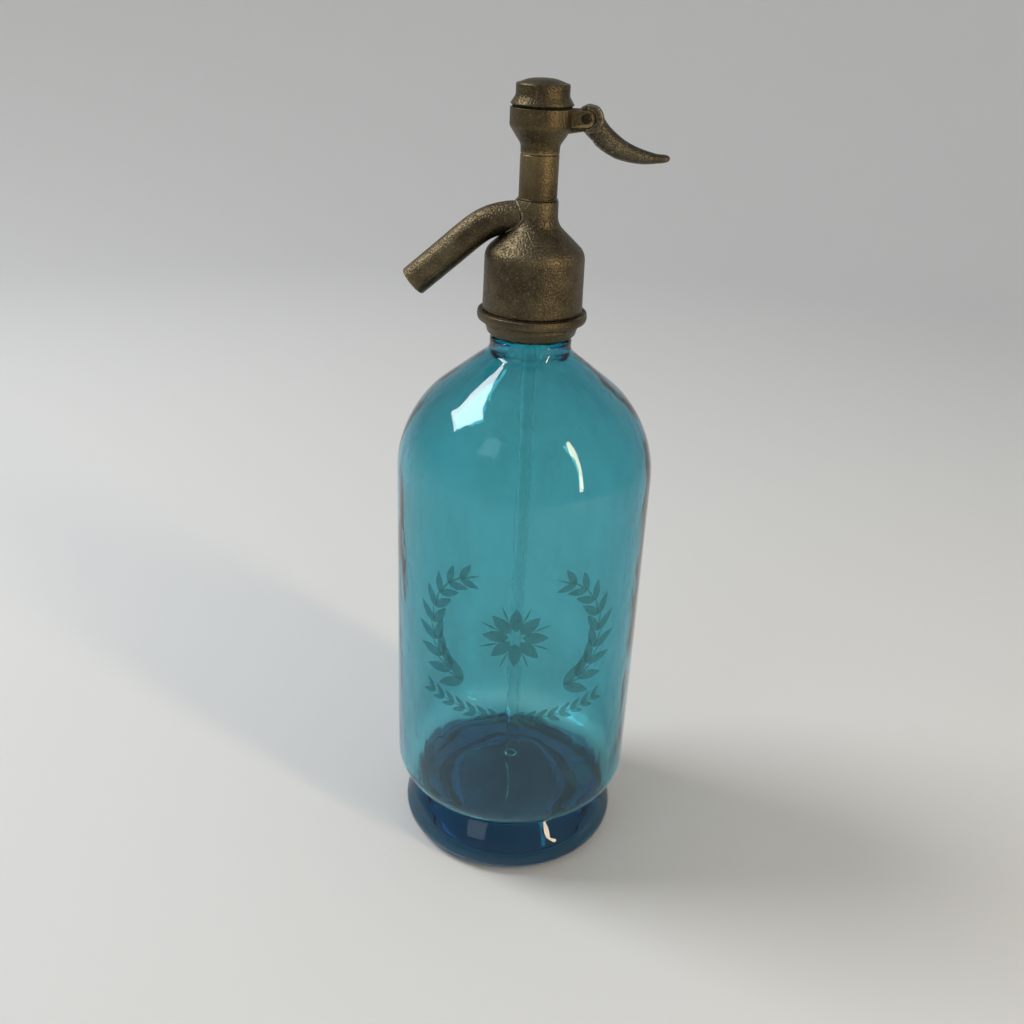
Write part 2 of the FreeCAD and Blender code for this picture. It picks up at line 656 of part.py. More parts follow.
def make_cup():
    """Cup on top of the column, slotted for the lever, with two cheeks for its pin."""
    body = new_body("lever_cup")
    socket = size.spigot_radius + size.fit_clearance
    throat = socket + size.throat_step
    flare_start = size.upper_seam + size.cup_flare_start
    outline = [
        (size.column_radius, size.upper_seam),
        (size.column_radius, flare_start, size.cup_foot_round),
        (size.cup_radius, flare_start + size.cup_flare_rise, size.cup_round),
        (size.cup_radius, size.cup_rim, size.soft_round / 4),
        (size.cup_bore, size.cup_rim),
        (size.cup_bore, size.cup_floor),
        (throat, size.cup_floor),
        (throat, size.upper_seam + size.column_spigot),
        (socket, size.upper_seam + size.column_spigot),
        (socket, size.upper_seam),
    ]
    turn_outline(body, outline)
    cheek_low = size.pin_level - size.cheek_round
    cheek_root = size.cup_bore + size.cup_wall / 2
    cheek_end = size.pin_reach + size.cheek_round
    sketch = new_sketch(body, "cheek_sketch")
    draw_outline(sketch, [
        (cheek_root, cheek_low),
        (cheek_end, cheek_low, size.cheek_round),
        (cheek_end, size.cup_rim, size.cheek_round),
        (cheek_root, size.cup_rim),
    ])
    cheeks = body.newObject("PartDesign::Pad", "cheeks")
    cheeks.Profile = sketch
    cheeks.Midplane = True
    cheeks.Length = size.cheek_width.number
    bind(cheeks, "Length", size.cheek_width)
    document.recompute()

    def slot(sketch):
        draw_outline(sketch, rectangle(ZERO, size.slot_floor, cheek_end + size.cheek_round,
                                       size.cup_rim + size.cheek_round))

    def pin_hole(sketch):
        draw_circle(sketch, size.pin_reach, size.pin_level, size.pin_radius + size.fit_clearance / 2)

    cut_across(body, "lever_slot", slot, size.slot_width)
    cut_across(body, "pin_hole", pin_hole)


def make_pin():
    """Riveted pin through both cheeks and the lever's tongue."""
    body = new_body("pivot_pin")
    sketch = new_sketch(body, "shank_sketch")
    draw_circle(sketch, size.pin_reach, size.pin_level, size.pin_radius)
    shank = body.newObject("PartDesign::Pad", "shank")
    shank.Profile = sketch
    shank.Midplane = True
    shank.Length = size.cheek_width.number
    bind(shank, "Length", size.cheek_width)
    for name, side in (("front_head", 1), ("back_head", -1)):
        head = new_sketch(body, name + "_sketch")
        draw_circle(head, size.pin_reach, size.pin_level, size.pin_radius + size.pin_head_rim)
        head.AttachmentOffset = FreeCAD.Placement(Vector(0, 0, 1), FreeCAD.Rotation())
        bind(head, "AttachmentOffset.Base.z", size.cheek_width / 2 * side)
        pad = body.newObject("PartDesign::Pad", name)
        pad.Profile = head
        pad.Reversed = side < 0
        pad.Length = size.pin_head.number
        bind(pad, "Length", size.pin_head)
    document.recompute()


def make_cap():
    """Domed cap that screws into the cup over the spring, and its rubber ring."""
    spigot = size.cup_bore - size.fit_clearance
    bore = size.crosshead_radius + size.cap_bore_gap
    outline = [
        (bore, size.cap_foot - size.cap_spigot),
        (spigot, size.cap_foot - size.cap_spigot),
        (spigot, size.cap_foot),
        (size.cap_rim_radius, size.cap_foot),
        (size.cap_rim_radius, size.cap_foot + size.cap_rim_height),
        (size.cap_radius, size.cap_foot + size.cap_flare, size.cap_flare_round),
        (size.cap_radius, size.cap_shoulder, size.cap_edge_round),
        (size.cap_radius / 2, size.cap_shoulder + size.dome_rise * DOME_SHARE, size.cap_radius),
        (ZERO, size.cap_shoulder + size.dome_rise),
        (ZERO, size.cap_ceiling),
        (bore, size.cap_ceiling),
    ]
    turned_piece("screw_cap", outline)
    ring_piece("cap_washer", size.cup_bore, size.cup_radius - size.washer_inset,
               size.cup_rim, size.cap_foot)


def make_piston():
    """Valve rod with its crosshead, and the brass foot, rubber and screw below it."""
    body = new_body("piston_rod")
    outline = [
        (ZERO, size.rod_low),
        (size.rod_radius, size.rod_low),
        (size.rod_radius, size.crosshead_low),
        (size.crosshead_radius, size.crosshead_low, size.soft_round / 2),
        (size.crosshead_radius, size.crosshead_top, size.soft_round / 2),
        (ZERO, size.crosshead_top),
    ]
    turn_outline(body, outline)

    def window(sketch):
        draw_outline(sketch, rectangle(ZERO - size.crosshead_radius * 2, size.window_low,
                                       size.crosshead_radius * 2, size.window_high))

    cut_across(body, "window", window, size.tongue_width + size.fit_clearance * 2)
    rod_socket = size.rod_radius + size.fit_clearance / 2
    screw_socket = size.screw_radius + size.fit_clearance / 2
    foot = [
        (screw_socket, size.valve_top),
        (size.valve_foot_radius, size.valve_top),
        (size.valve_foot_radius, size.valve_foot_top, size.soft_round),
        (rod_socket, size.valve_foot_top),
        (rod_socket, size.rod_low),
        (screw_socket, size.rod_low),
    ]
    turned_piece("valve_foot", foot)
    ring_piece("valve_washer", screw_socket, size.valve_foot_radius - size.valve_inset,
               size.valve_face, size.valve_top)
    screw_end = size.valve_top + size.screw_engagement
    screw = [
        (ZERO, size.valve_face - size.screw_head),
        (size.screw_head_radius, size.valve_face - size.screw_head, size.soft_round / 4),
        (size.screw_head_radius, size.valve_face),
        (size.screw_radius, size.valve_face),
        (size.screw_radius, screw_end),
        (ZERO, screw_end),
    ]
    turned_piece("washer_screw", screw)


def make_spring():
    """Washer on the crosshead, and the coil spring between it and the cap."""
    washer_outside = size.spring_radius + size.spring_wire * 2
    turned_piece("spring_seat", rectangle(ZERO, size.crosshead_top, washer_outside,
                                          size.crosshead_top + size.seat_washer))
    body = new_body("return_spring")
    low = size.crosshead_top + size.seat_washer + size.spring_wire
    high = size.cap_ceiling - size.spring_wire
    sketch = new_sketch(body, "wire_sketch")
    draw_circle(sketch, size.spring_radius, low, size.spring_wire)
    coil = body.newObject("PartDesign::AdditiveHelix", "coil")
    coil.Profile = sketch
    coil.ReferenceAxis = (sketch, ["V_Axis"])
    coil.Mode = 1
    coil.Pitch = (high.number - low.number) / size.spring_turns.number
    coil.Height = high.number - low.number
    coil.Turns = size.spring_turns.number
    bind(coil, "Height", high - low)
    bind(coil, "Turns", size.spring_turns)
    document.recompute()


def draw_spout_path(sketch):
    """Middle line of the spout: out of the neck, round the bend and straight down."""
    turn = math.radians(size.spout_angle.number)
    bend = size.spout_bend.number
    start = Vector(-size.chamber_bore.number, size.spout_axis.number, 0)
    bend_start = Vector(-size.spout_root.number, size.spout_axis.number, 0)
    centre = bend_start - Vector(0, bend, 0)
    bend_end = centre + Vector(-math.sin(turn), math.cos(turn), 0) * bend
    tip = bend_end + Vector(-math.cos(turn), -math.sin(turn), 0) * size.spout_length.number
    root = sketch.addGeometry(Part.LineSegment(start, bend_start), False)
    circle = Part.Circle(centre, Z_DIRECTION, bend)
    quarter = math.radians(90)
    arc = sketch.addGeometry(Part.ArcOfCircle(circle, quarter, quarter + turn), False)
    end = sketch.addGeometry(Part.LineSegment(bend_end, tip), False)
    place_point(sketch, root, 1, ZERO - size.chamber_bore, size.spout_axis)
    place_point(sketch, root, 2, ZERO - size.spout_root, size.spout_axis)
    sketch.addConstraint(Sketcher.Constraint("Tangent", root, 2, arc, 1))
    sketch.addConstraint(Sketcher.Constraint("Tangent", arc, 2, end, 1))
    radius = sketch.addConstraint(Sketcher.Constraint("Radius", arc, bend))
    sketch.setExpression("Constraints[%d]" % radius, size.spout_bend.text)
    length = sketch.addConstraint(
        Sketcher.Constraint("Distance", end, 1, end, 2, size.spout_length.number))
    sketch.setExpression("Constraints[%d]" % length, size.spout_length.text)
    angle = sketch.addConstraint(Sketcher.Constraint("Angle", arc, turn))
    sketch.setExpression("Constraints[%d]" % angle, size.spout_angle.text + " * 1 deg")


def make_spout():
    """Bent spout, its root cut to the shape of the head that it is soldered to."""
    body = new_body("spout_tube")
    path = new_sketch(body, "spout_path")
    draw_spout_path(path)
    document.recompute()
    for name, kind, radius in (("spout_outside", "AdditivePipe", size.spout_radius),
                               ("spout_hole", "SubtractivePipe", size.spout_bore)):
        ring = new_sketch(body, name + "_sketch", "YZ_Plane")
        draw_circle(ring, ZERO, size.spout_axis, radius)
        ring.AttachmentOffset = FreeCAD.Placement(Vector(0, 0, -1), FreeCAD.Rotation())
        bind(ring, "AttachmentOffset.Base.z", ZERO - size.chamber_bore)
        pipe = body.newObject("PartDesign::" + kind, name)
        pipe.Profile = ring
        pipe.Spine = path
        document.recompute()
    before = body.Shape.Volume
    root = new_sketch(body, "root_sketch")
    head = bell_outside() + [(ZERO, size.lower_seam), (ZERO, size.flange_top)]
    draw_outline(root, head)
    cope = body.newObject("PartDesign::Groove", "root_cut")
    cope.Profile = root
    cope.ReferenceAxis = (root, ["V_Axis"])
    cope.Angle = FULL_TURN
    must_shrink(body, before, "root_cut")


def horn_stations():
    """Middle, slope, height and width of the lever along its two bends."""
    steps = 4
    start = -math.radians(size.horn_start_angle.number)
    middle = -math.radians(size.horn_middle_angle.number)
    tip = math.radians(size.horn_tip_angle.number)
    point = Vector(size.pin_reach.number + size.knuckle_shift.number, 0, size.pin_level.number)
    width_start, width_tip = size.lever_width.number, size.lever_tip_width.number
    inner, outer = size.horn_inner_bend.number, size.horn_outer_bend.number
    inner_length = inner * (middle - start)
    whole = inner_length + outer * (tip - middle)
    stations = []
    spans = ((inner, start, middle, 0.0, size.horn_start_height, size.horn_middle_height),
             (outer, middle, tip, inner_length, size.horn_middle_height, size.horn_tip_height))
    for bend, first, last, run, height_first, height_last in spans:
        centre = point - Vector(math.sin(first), 0, -math.cos(first)) * bend
        for step in range(steps + 1):
            if step == 0 and stations:
                continue
            share = step / steps
            slope = first + (last - first) * share
            here = centre + Vector(math.sin(slope), 0, -math.cos(slope)) * bend
            height = height_first.number + (height_last.number - height_first.number) * share
            along = (run + bend * (slope - first)) / whole
            width = width_start + (width_tip - width_start) * along
            stations.append((here, slope, height, width))
        point = here
    length = size.horn_tip_round.number
    end, slope, height, width = stations[-1]
    forward = Vector(math.cos(slope), 0, math.sin(slope))
    for share in (0.5, 0.85, 0.985):
        shrink = math.sqrt(1 - share * share)
        stations.append((end + forward * length * share, slope, height * shrink, width * shrink))
    return stations


def horn_section(middle, slope, height, width):
    """An oval across the lever at one station."""
    forward = Vector(math.cos(slope), 0, math.sin(slope))
    upward = Vector(-math.sin(slope), 0, math.cos(slope))
    if height < width:
        major, minor, direction = width / 2, height / 2, Y_DIRECTION
    else:
        major, minor, direction = height / 2, width / 2, upward
    oval = Part.Ellipse(middle + direction * major, middle + forward.cross(direction) * minor,
                        middle)
    return Part.Wire([oval.toShape()])


def upright_slab(points, half_width):
    """A flat plate with its outline in the XZ plane, as thick on both sides of it."""
    corners = [Vector(across, -half_width, up) for across, up in points]
    face = Part.Face(Part.makePolygon(corners + corners[:1]))
    return face.extrude(Y_DIRECTION * half_width * 2)


def make_lever():
    """Cast lever: a curved horn, a knuckle on the pin and a finger to the crosshead."""
    pin = Vector(size.pin_reach.number, 0, size.pin_level.number)
    width = size.lever_width.number
    tongue = size.tongue_width.number / 2
    knuckle_radius = size.knuckle_radius.number
    knuckle_middle = pin + X_DIRECTION * size.knuckle_shift.number
    sections = [horn_section(*station) for station in horn_stations()]
    horn = Part.makeLoft(sections, True, False)
    knuckle = Part.makeCylinder(knuckle_radius, width, knuckle_middle - Y_DIRECTION * width / 2,
                                Y_DIRECTION)
    outer = horn.fuse(knuckle)
    clear = size.cheek_round.number + size.tongue_clearance.number
    reach = pin.x + knuckle_radius * 4
    for side in (-1, 1):
        low = min(side * tongue, side * width)
        base = Vector(-reach, low, pin.z - reach)
        outer = outer.cut(Part.makeBox(pin.x + reach, width - tongue, reach * 2, base))
        start = Vector(pin.x, low, pin.z)
        outer = outer.cut(Part.makeCylinder(clear, width - tongue, start, Y_DIRECTION))
    nose = Vector(0, 0, size.nose_level.number)
    half = size.finger_half_height.number
    bend_x = size.cup_radius.number - half
    finger = upright_slab([
        (nose.x, nose.z - half),
        (bend_x, nose.z - half),
        (knuckle_middle.x, pin.z - knuckle_radius * 0.9),
        (pin.x, pin.z + half),
        (pin.x - knuckle_radius * 0.8, pin.z),
        (bend_x, nose.z + half * 1.4),
        (nose.x, nose.z + half),
    ], tongue)
    tip = Part.makeCylinder(size.nose_radius.number, tongue * 2, nose - Y_DIRECTION * tongue,
                            Y_DIRECTION)
    shape = outer.fuse(finger).fuse(tip)
    hole = size.pin_radius.number + size.running_clearance.number
    bore = Part.makeCylinder(hole, width * 2, pin - Y_DIRECTION * width, Y_DIRECTION)
    shape = shape.cut(bore).removeSplitter()
    lever = document.addObject("Part::Feature", "lever")
    lever.Shape = shape
    lever.Label = "lever"
    PARTS.append(lever)


for make in (make_bottle, make_tube, make_collar, make_bell, make_column, make_cup,
             make_pin, make_cap, make_piston, make_spring, make_spout, make_lever):
    make()
document.recompute()

for thing in document.Objects:
    if "Invalid" in thing.State or "Error" in thing.State:
        raise RuntimeError("%s is %s" % (thing.Label, thing.State))
for piece in PARTS:
    shape = piece.Shape
    if shape.isNull() or not shape.isValid() or len(shape.Solids) != 1:
        raise RuntimeError("%s has no single sound solid" % piece.Label)

os.makedirs("parts", exist_ok=True)
for piece in PARTS:
    piece.Shape.exportStep("parts/%s.step" % piece.Label)
    box = piece.Shape.optimalBoundingBox(False)
    print("%-18s %9.1f mm3  x %7.2f %7.2f  y %7.2f %7.2f  z %7.2f %7.2f" % (
        piece.Label, piece.Shape.Volume, box.XMin, box.XMax, box.YMin, box.YMax,
        box.ZMin, box.ZMax))
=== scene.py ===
import math

import bpy
from mathutils import Matrix, Vector


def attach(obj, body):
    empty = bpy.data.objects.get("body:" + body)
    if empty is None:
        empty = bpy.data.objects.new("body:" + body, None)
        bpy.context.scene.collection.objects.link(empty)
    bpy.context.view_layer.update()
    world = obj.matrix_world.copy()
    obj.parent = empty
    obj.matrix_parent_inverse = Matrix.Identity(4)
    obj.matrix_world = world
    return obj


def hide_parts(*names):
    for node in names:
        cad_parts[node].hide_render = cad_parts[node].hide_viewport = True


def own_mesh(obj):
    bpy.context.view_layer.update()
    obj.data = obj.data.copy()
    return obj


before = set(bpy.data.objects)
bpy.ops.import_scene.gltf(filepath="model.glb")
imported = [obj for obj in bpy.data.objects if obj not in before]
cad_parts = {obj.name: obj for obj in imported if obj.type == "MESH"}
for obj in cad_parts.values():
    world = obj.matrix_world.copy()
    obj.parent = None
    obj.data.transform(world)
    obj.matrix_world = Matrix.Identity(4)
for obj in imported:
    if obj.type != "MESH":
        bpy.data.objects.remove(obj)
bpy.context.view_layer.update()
bpy.ops.object.select_all(action="DESELECT")
MM = 0.001


# The glass bottle. One thick piece of blown glass, free-blown soft over a rolled foot
# that was pressed on while hot, so its wall waves a little and holds small seeds, and
# its inner bottom is lumpy. It stands on the ring of its foot, hollow to the mouth.
def rounded(corners):
    """Points along an outline, in mm, with an arc at each corner that has a round."""
    points = []
    for index, corner in enumerate(corners):
        here = Vector(corner[:2])
        size = corner[2] if len(corner) > 2 else 0.0
        if size <= 0.0 or index in (0, len(corners) - 1):
            points.append(here)
            continue
        before = Vector(corners[index - 1][:2]) - here
        after = Vector(corners[index + 1][:2]) - here
        bend = math.pi - before.angle(after)
        reach = min(size * math.tan(bend / 2), before.length * 0.49, after.length * 0.49)
        size = reach / math.tan(bend / 2)
        middle = (before.normalized() + after.normalized()).normalized()
        centre = here + middle * (size / math.cos(bend / 2))
        start = here + before.normalized() * reach - centre
        turn = start.angle_signed(here + after.normalized() * reach - centre)
        steps = max(2, int(math.degrees(abs(turn)) / 5))
        for step in range(steps + 1):
            angle = -turn * step / steps
            points.append(centre + Matrix.Rotation(angle, 2) @ start)
    return points


def pick(obj, mode="VERT"):
    """Make a piece the only selected one and open it in edit mode."""
    bpy.ops.object.select_all(action="DESELECT")
    obj.select_set(True)
    bpy.context.view_layer.objects.active = obj
    bpy.ops.object.mode_set(mode="EDIT")
    bpy.ops.mesh.select_mode(type=mode)
    bpy.ops.mesh.select_all(action="SELECT")


def close_edit(smooth_angle=35):
    """Merge doubles, turn the faces outwards and leave edit mode."""
    bpy.ops.mesh.select_all(action="SELECT")
    bpy.ops.mesh.remove_doubles(threshold=0.000004)
    bpy.ops.mesh.normals_make_consistent(inside=False)
    bpy.ops.object.mode_set(mode="OBJECT")
    bpy.ops.object.shade_smooth_by_angle(angle=math.radians(smooth_angle))


def turned(name, corners, steps=128, smooth_angle=35):
    """Draw half of a turned piece's outline and spin it round the axis."""
    points = rounded(corners)
    bpy.ops.mesh.primitive_plane_add(size=MM)
    piece = bpy.context.object
    piece.name = name
    pick(piece)
    bpy.ops.mesh.merge(type="CENTER")
    bpy.ops.transform.translate(value=(points[0].x * MM, 0, points[0].y * MM))
    for start, end in zip(points, points[1:]):
        if (end - start).length < 0.002:
            continue
        step = ((end.x - start.x) * MM, 0, (end.y - start.y) * MM)
        bpy.ops.mesh.extrude_vertices_move(TRANSFORM_OT_translate={"value": step})
    bpy.ops.mesh.select_all(action="SELECT")
    bpy.ops.mesh.spin(steps=steps, angle=math.tau, center=(0, 0, 0), axis=(0, 0, 1))
    close_edit(smooth_angle)
    return piece


def apply_modifier(piece, kind, **settings):
    """Add a modifier with its settings and apply it."""
    bpy.ops.object.select_all(action="DESELECT")
    piece.select_set(True)
    bpy.context.view_layer.objects.active = piece
    modifier = piece.modifiers.new(kind, kind)
    for key, value in settings.items():
        setattr(modifier, key, value)
    bpy.ops.object.modifier_apply(modifier=modifier.name)


def roughened(piece, name, scale, strength, depth=2, group=""):
    """Push a piece's surface in and out by a cloudy noise."""
    clouds = bpy.data.textures.new(name, "CLOUDS")
    clouds.noise_scale = scale
    clouds.noise_depth = depth
    apply_modifier(piece, "DISPLACE", texture=clouds, strength=strength, mid_level=0.5,
                   texture_coords="LOCAL", vertex_group=group)


def share(value):
    """The value held between nothing and the whole."""
    return min(1.0, max(0.0, value))


bottle = turned("glass_bottle_blown", [
    (0, 12), (23, 12, 6), (31.5, 0, 1.6), (41.5, 0, 4), (47.6, 5, 6), (43.4, 13.2, 8),
    (36.8, 19.6, 1.2), (50, 30.8, 13), (50, 190.3, 45), (15.3, 217.4, 5), (15.3, 222.4, 1),
    (13, 222.4, 0.6), (13, 232.8), (14.2, 232.8, 0.5), (14.2, 239, 1.5), (8.6, 239, 1.5),
    (8.6, 216.9, 5), (45.5, 188.1, 40), (45.5, 27.0, 12), (32, 25.2, 10), (26, 25.6),
    (21, 26.0), (16, 26.4), (11, 26.8), (6, 27.2), (0, 27.5),
], steps=160)
FOOT_FIRM, FOOT_FADE = 2, 20
NECK_FIRM, NECK_FADE = 214, 30
BOTTOM_LOW, BOTTOM_HIGH, BOTTOM_REACH, BOTTOM_FADE = 24, 34, 40, 8
soft = bottle.vertex_groups.new(name="soft")
gathered = bottle.vertex_groups.new(name="gathered")
for vertex in bottle.data.vertices:
    height = vertex.co.z / MM
    weight = share((height - FOOT_FIRM) / FOOT_FADE) * share((NECK_FIRM - height) / NECK_FADE)
    soft.add([vertex.index], weight, "REPLACE")
    across = math.hypot(vertex.co.x, vertex.co.y) / MM
    if BOTTOM_LOW < height < BOTTOM_HIGH and across < BOTTOM_REACH:
        gathered.add([vertex.index], min(1.0, (BOTTOM_REACH - across) / BOTTOM_FADE), "REPLACE")
roughened(bottle, "long_wave", 45 * MM, 0.7 * MM, depth=1, group="soft")
roughened(bottle, "lumpy", 16 * MM, 2.4 * MM, depth=1, group="gathered")
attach(bottle, "siphon")
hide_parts("glass_bottle")


def new_material(name):
    """A new material, its node tree and its Principled shader."""
    material = bpy.data.materials.new(name)
    material.use_nodes = True
    tree = material.node_tree
    return material, tree, tree.nodes["Principled BSDF"]


def add(tree, kind, **settings):
    """Add a node; settings whose names are sockets set those sockets."""
    node = tree.nodes.new(kind)
    for key, value in settings.items():
        if key in node.inputs:
            node.inputs[key].default_value = value
        else:
            setattr(node, key, value)
    return node


def ramp(tree, low, high, colour_low=(0, 0, 0, 1), colour_high=(1, 1, 1, 1)):
    """A colour ramp between two places."""
    node = tree.nodes.new("ShaderNodeValToRGB")
    node.color_ramp.elements[0].position = low
    node.color_ramp.elements[0].color = colour_low
    node.color_ramp.elements[1].position = high
    node.color_ramp.elements[1].color = colour_high
    return node


def blown_surface():
    """Group: waves, seeds, scuffs and lime streaks of old glass, as height and masks."""
    tree = bpy.data.node_groups.new("blown_surface", "ShaderNodeTree")
    tree.interface.new_socket("Scuffs", in_out="INPUT", socket_type="NodeSocketFloat")
    tree.interface.new_socket("Height", in_out="OUTPUT", socket_type="NodeSocketFloat")
    tree.interface.new_socket("Roughness", in_out="OUTPUT", socket_type="NodeSocketFloat")
    tree.interface.new_socket("Haze", in_out="OUTPUT", socket_type="NodeSocketFloat")
    given = tree.nodes.new("NodeGroupInput")
    result = tree.nodes.new("NodeGroupOutput")
    place = add(tree, "ShaderNodeTexCoord")
    stretch = add(tree, "ShaderNodeMapping", Scale=(1.0, 1.0, 0.45))
    waves = add(tree, "ShaderNodeTexNoise", Scale=70.0, Detail=2.0, Roughness=0.45)
    seeds = add(tree, "ShaderNodeTexVoronoi", Scale=190.0)
    bubble = ramp(tree, 0.05, 0.11, (1, 1, 1, 1), (0, 0, 0, 1))
    few = add(tree, "ShaderNodeTexNoise", Scale=95.0, Detail=0.0)
    chosen = ramp(tree, 0.60, 0.66)
    seed = add(tree, "ShaderNodeMath", operation="MULTIPLY")
    sum_height = add(tree, "ShaderNodeMath", operation="MULTIPLY_ADD")
    sum_height.inputs[1].default_value = 0.16
    scuff = add(tree, "ShaderNodeTexNoise", Scale=420.0, Detail=6.0, Roughness=0.75)
    scuffed = ramp(tree, 0.52, 0.72)
    rough = add(tree, "ShaderNodeMath", operation="MULTIPLY_ADD")
    rough.inputs[2].default_value = 0.015
    link = tree.links.new
    link(place.outputs["Object"], stretch.inputs["Vector"])
    link(stretch.outputs["Vector"], waves.inputs["Vector"])
    link(place.outputs["Object"], seeds.inputs["Vector"])
    link(place.outputs["Object"], few.inputs["Vector"])
    link(place.outputs["Object"], scuff.inputs["Vector"])
    link(seeds.outputs["Distance"], bubble.inputs["Fac"])
    link(few.outputs["Fac"], chosen.inputs["Fac"])
    link(bubble.outputs["Color"], seed.inputs[0])
    link(chosen.outputs["Color"], seed.inputs[1])
    link(seed.outputs["Value"], sum_height.inputs[0])
    link(waves.outputs["Fac"], sum_height.inputs[2])
    link(scuff.outputs["Fac"], scuffed.inputs["Fac"])
    link(scuffed.outputs["Color"], rough.inputs[0])
    link(given.outputs["Scuffs"], rough.inputs[1])
    link(sum_height.outputs["Value"], result.inputs["Height"])
    link(rough.outputs["Value"], result.inputs["Roughness"])
    streaks = add(tree, "ShaderNodeTexNoise", Scale=38.0, Detail=7.0, Roughness=0.62)
    streaked = ramp(tree, 0.36, 0.68, (0.35, 0.35, 0.35, 1), (1, 1, 1, 1))
    heights = add(tree, "ShaderNodeSeparateXYZ")
    above = add(tree, "ShaderNodeMapRange")
    above.inputs["From Min"].default_value = 26 * MM
    above.inputs["From Max"].default_value = 44 * MM
    hazed = add(tree, "ShaderNodeMath", operation="MULTIPLY")
    link(stretch.outputs["Vector"], streaks.inputs["Vector"])
    link(streaks.outputs["Fac"], streaked.inputs["Fac"])
    link(place.outputs["Object"], heights.inputs["Vector"])
    link(heights.outputs["Z"], above.inputs["Value"])
    link(streaked.outputs["Color"], hazed.inputs[0])
    link(above.outputs["Result"], hazed.inputs[1])
    link(hazed.outputs["Value"], result.inputs["Haze"])
    return tree


blown = blown_surface()


def glass(name, tint, hazy_tint, absorbed, density, wave_depth, scuffs):
    """Clear blown glass: colour in its body, waves and seeds on its surface."""
    material, tree, shader = new_material(name)
    shader.inputs["Transmission Weight"].default_value = 1.0
    shader.inputs["IOR"].default_value = 1.5
    surface = add(tree, "ShaderNodeGroup", node_tree=blown, Scuffs=scuffs)
    bump = add(tree, "ShaderNodeBump", Strength=1.0, Distance=wave_depth)
    body = add(tree, "ShaderNodeVolumeAbsorption", Color=absorbed, Density=density)
    stain = add(tree, "ShaderNodeMix", data_type="RGBA")
    stain.inputs["A"].default_value = tint
    stain.inputs["B"].default_value = hazy_tint
    tree.links.new(surface.outputs["Haze"], stain.inputs["Factor"])
    tree.links.new(stain.outputs["Result"], shader.inputs["Base Color"])
    tree.links.new(surface.outputs["Height"], bump.inputs["Height"])
    tree.links.new(bump.outputs["Normal"], shader.inputs["Normal"])
    tree.links.new(surface.outputs["Roughness"], shader.inputs["Roughness"])
    tree.links.new(body.outputs["Volume"], tree.nodes["Material Output"].inputs["Volume"])
    return material


def dress(piece, material):
    """Give a piece one material."""
    piece.data.materials.clear()
    piece.data.materials.append(material)


dress(bottle, glass("blue_blown_glass", (0.95, 0.985, 0.99, 1), (0.77, 0.795, 0.75, 1),
                    (0.060, 0.783, 0.872, 1), density=275.0, wave_depth=0.45 * MM,
                    scuffs=0.10))


# The etched ornament. Acid has dulled the front of the bottle in the form of two leafy
# sprays round a plain rosette, over a hanging garland of small leaves. It is no more
# than a matt skin on the glass.
def choose(piece, test):
    """In edit mode, select only the points whose place passes the test."""
    bpy.ops.mesh.select_mode(type="VERT")
    bpy.ops.mesh.select_all(action="DESELECT")
    bpy.ops.object.mode_set(mode="OBJECT")
    for vertex in piece.data.vertices:
        vertex.select = test(vertex.co)
    bpy.ops.object.mode_set(mode="EDIT")


LEAF_POINT, LEAF_SHOULDER, LEAF_FULLNESS = 0.02, 0.8, 0.85


def leaf(name, length, width, columns=12):
    """A flat pointed leaf from the root at the origin along +X, in the XZ plane."""
    bpy.ops.object.select_all(action="DESELECT")
    bpy.ops.mesh.primitive_grid_add(x_subdivisions=columns, y_subdivisions=4, size=1,
                                    rotation=(math.pi / 2, 0, 0))
    piece = bpy.context.object
    piece.name = name
    bpy.ops.object.transform_apply(location=False, rotation=True, scale=False)
    pick(piece)
    bpy.ops.transform.resize(value=(length, 1, width))
    bpy.ops.transform.translate(value=(length / 2, 0, 0))
    for column in range(columns + 1):
        along = column / columns
        narrow = max(LEAF_POINT, math.sin(math.pi * along ** LEAF_SHOULDER) ** LEAF_FULLNESS)
        choose(piece, lambda place: abs(place.x - length * along) < length * 0.01)
        bpy.ops.transform.resize(value=(1, 1, narrow), center_override=(length * along, 0, 0))
    bpy.ops.object.mode_set(mode="OBJECT")
    return piece


def laid(pattern, across, up, angle, scale=1.0):
    """A copy of a flat shape, turned, sized and moved on the sheet."""
    piece = pattern.copy()
    piece.data = pattern.data.copy()
    bpy.context.collection.objects.link(piece)
    turn = Matrix.Rotation(-angle, 4, "Y")
    piece.data.transform(Matrix.Translation((across, 0, up)) @ turn @ Matrix.Scale(scale, 4))
    return piece


blade = leaf("leaf_pattern", 12.5 * MM, 4.6 * MM)
stem = leaf("stem_pattern", 9 * MM, 0.9 * MM, columns=8)
petal = leaf("petal_pattern", 8 * MM, 4.0 * MM, columns=10)
flat = []
ORNAMENT_HEIGHT = 121 * MM
PETALS = 8
PETAL_ROOT, RAY_ROOT = 2.6 * MM, 7 * MM
for petal_number in range(PETALS):
    angle = petal_number * math.tau / PETALS
    root = Vector((math.cos(angle), math.sin(angle))) * PETAL_ROOT
    flat.append(laid(petal, root.x, root.y, angle, 1.25))
    half = angle + math.tau / PETALS / 2
    root = Vector((math.cos(half), math.sin(half))) * RAY_ROOT
    flat.append(laid(stem, root.x, root.y, half, 0.85))
SPRAY_LEAVES = 9
SPRAY_OFFSET, SPRAY_WIDTH, SPRAY_HEIGHT = 16 * MM, 18 * MM, 23 * MM
SPRAY_START, SPRAY_STEP = -78, 18.5
LEAF_SPREAD = math.radians(38)
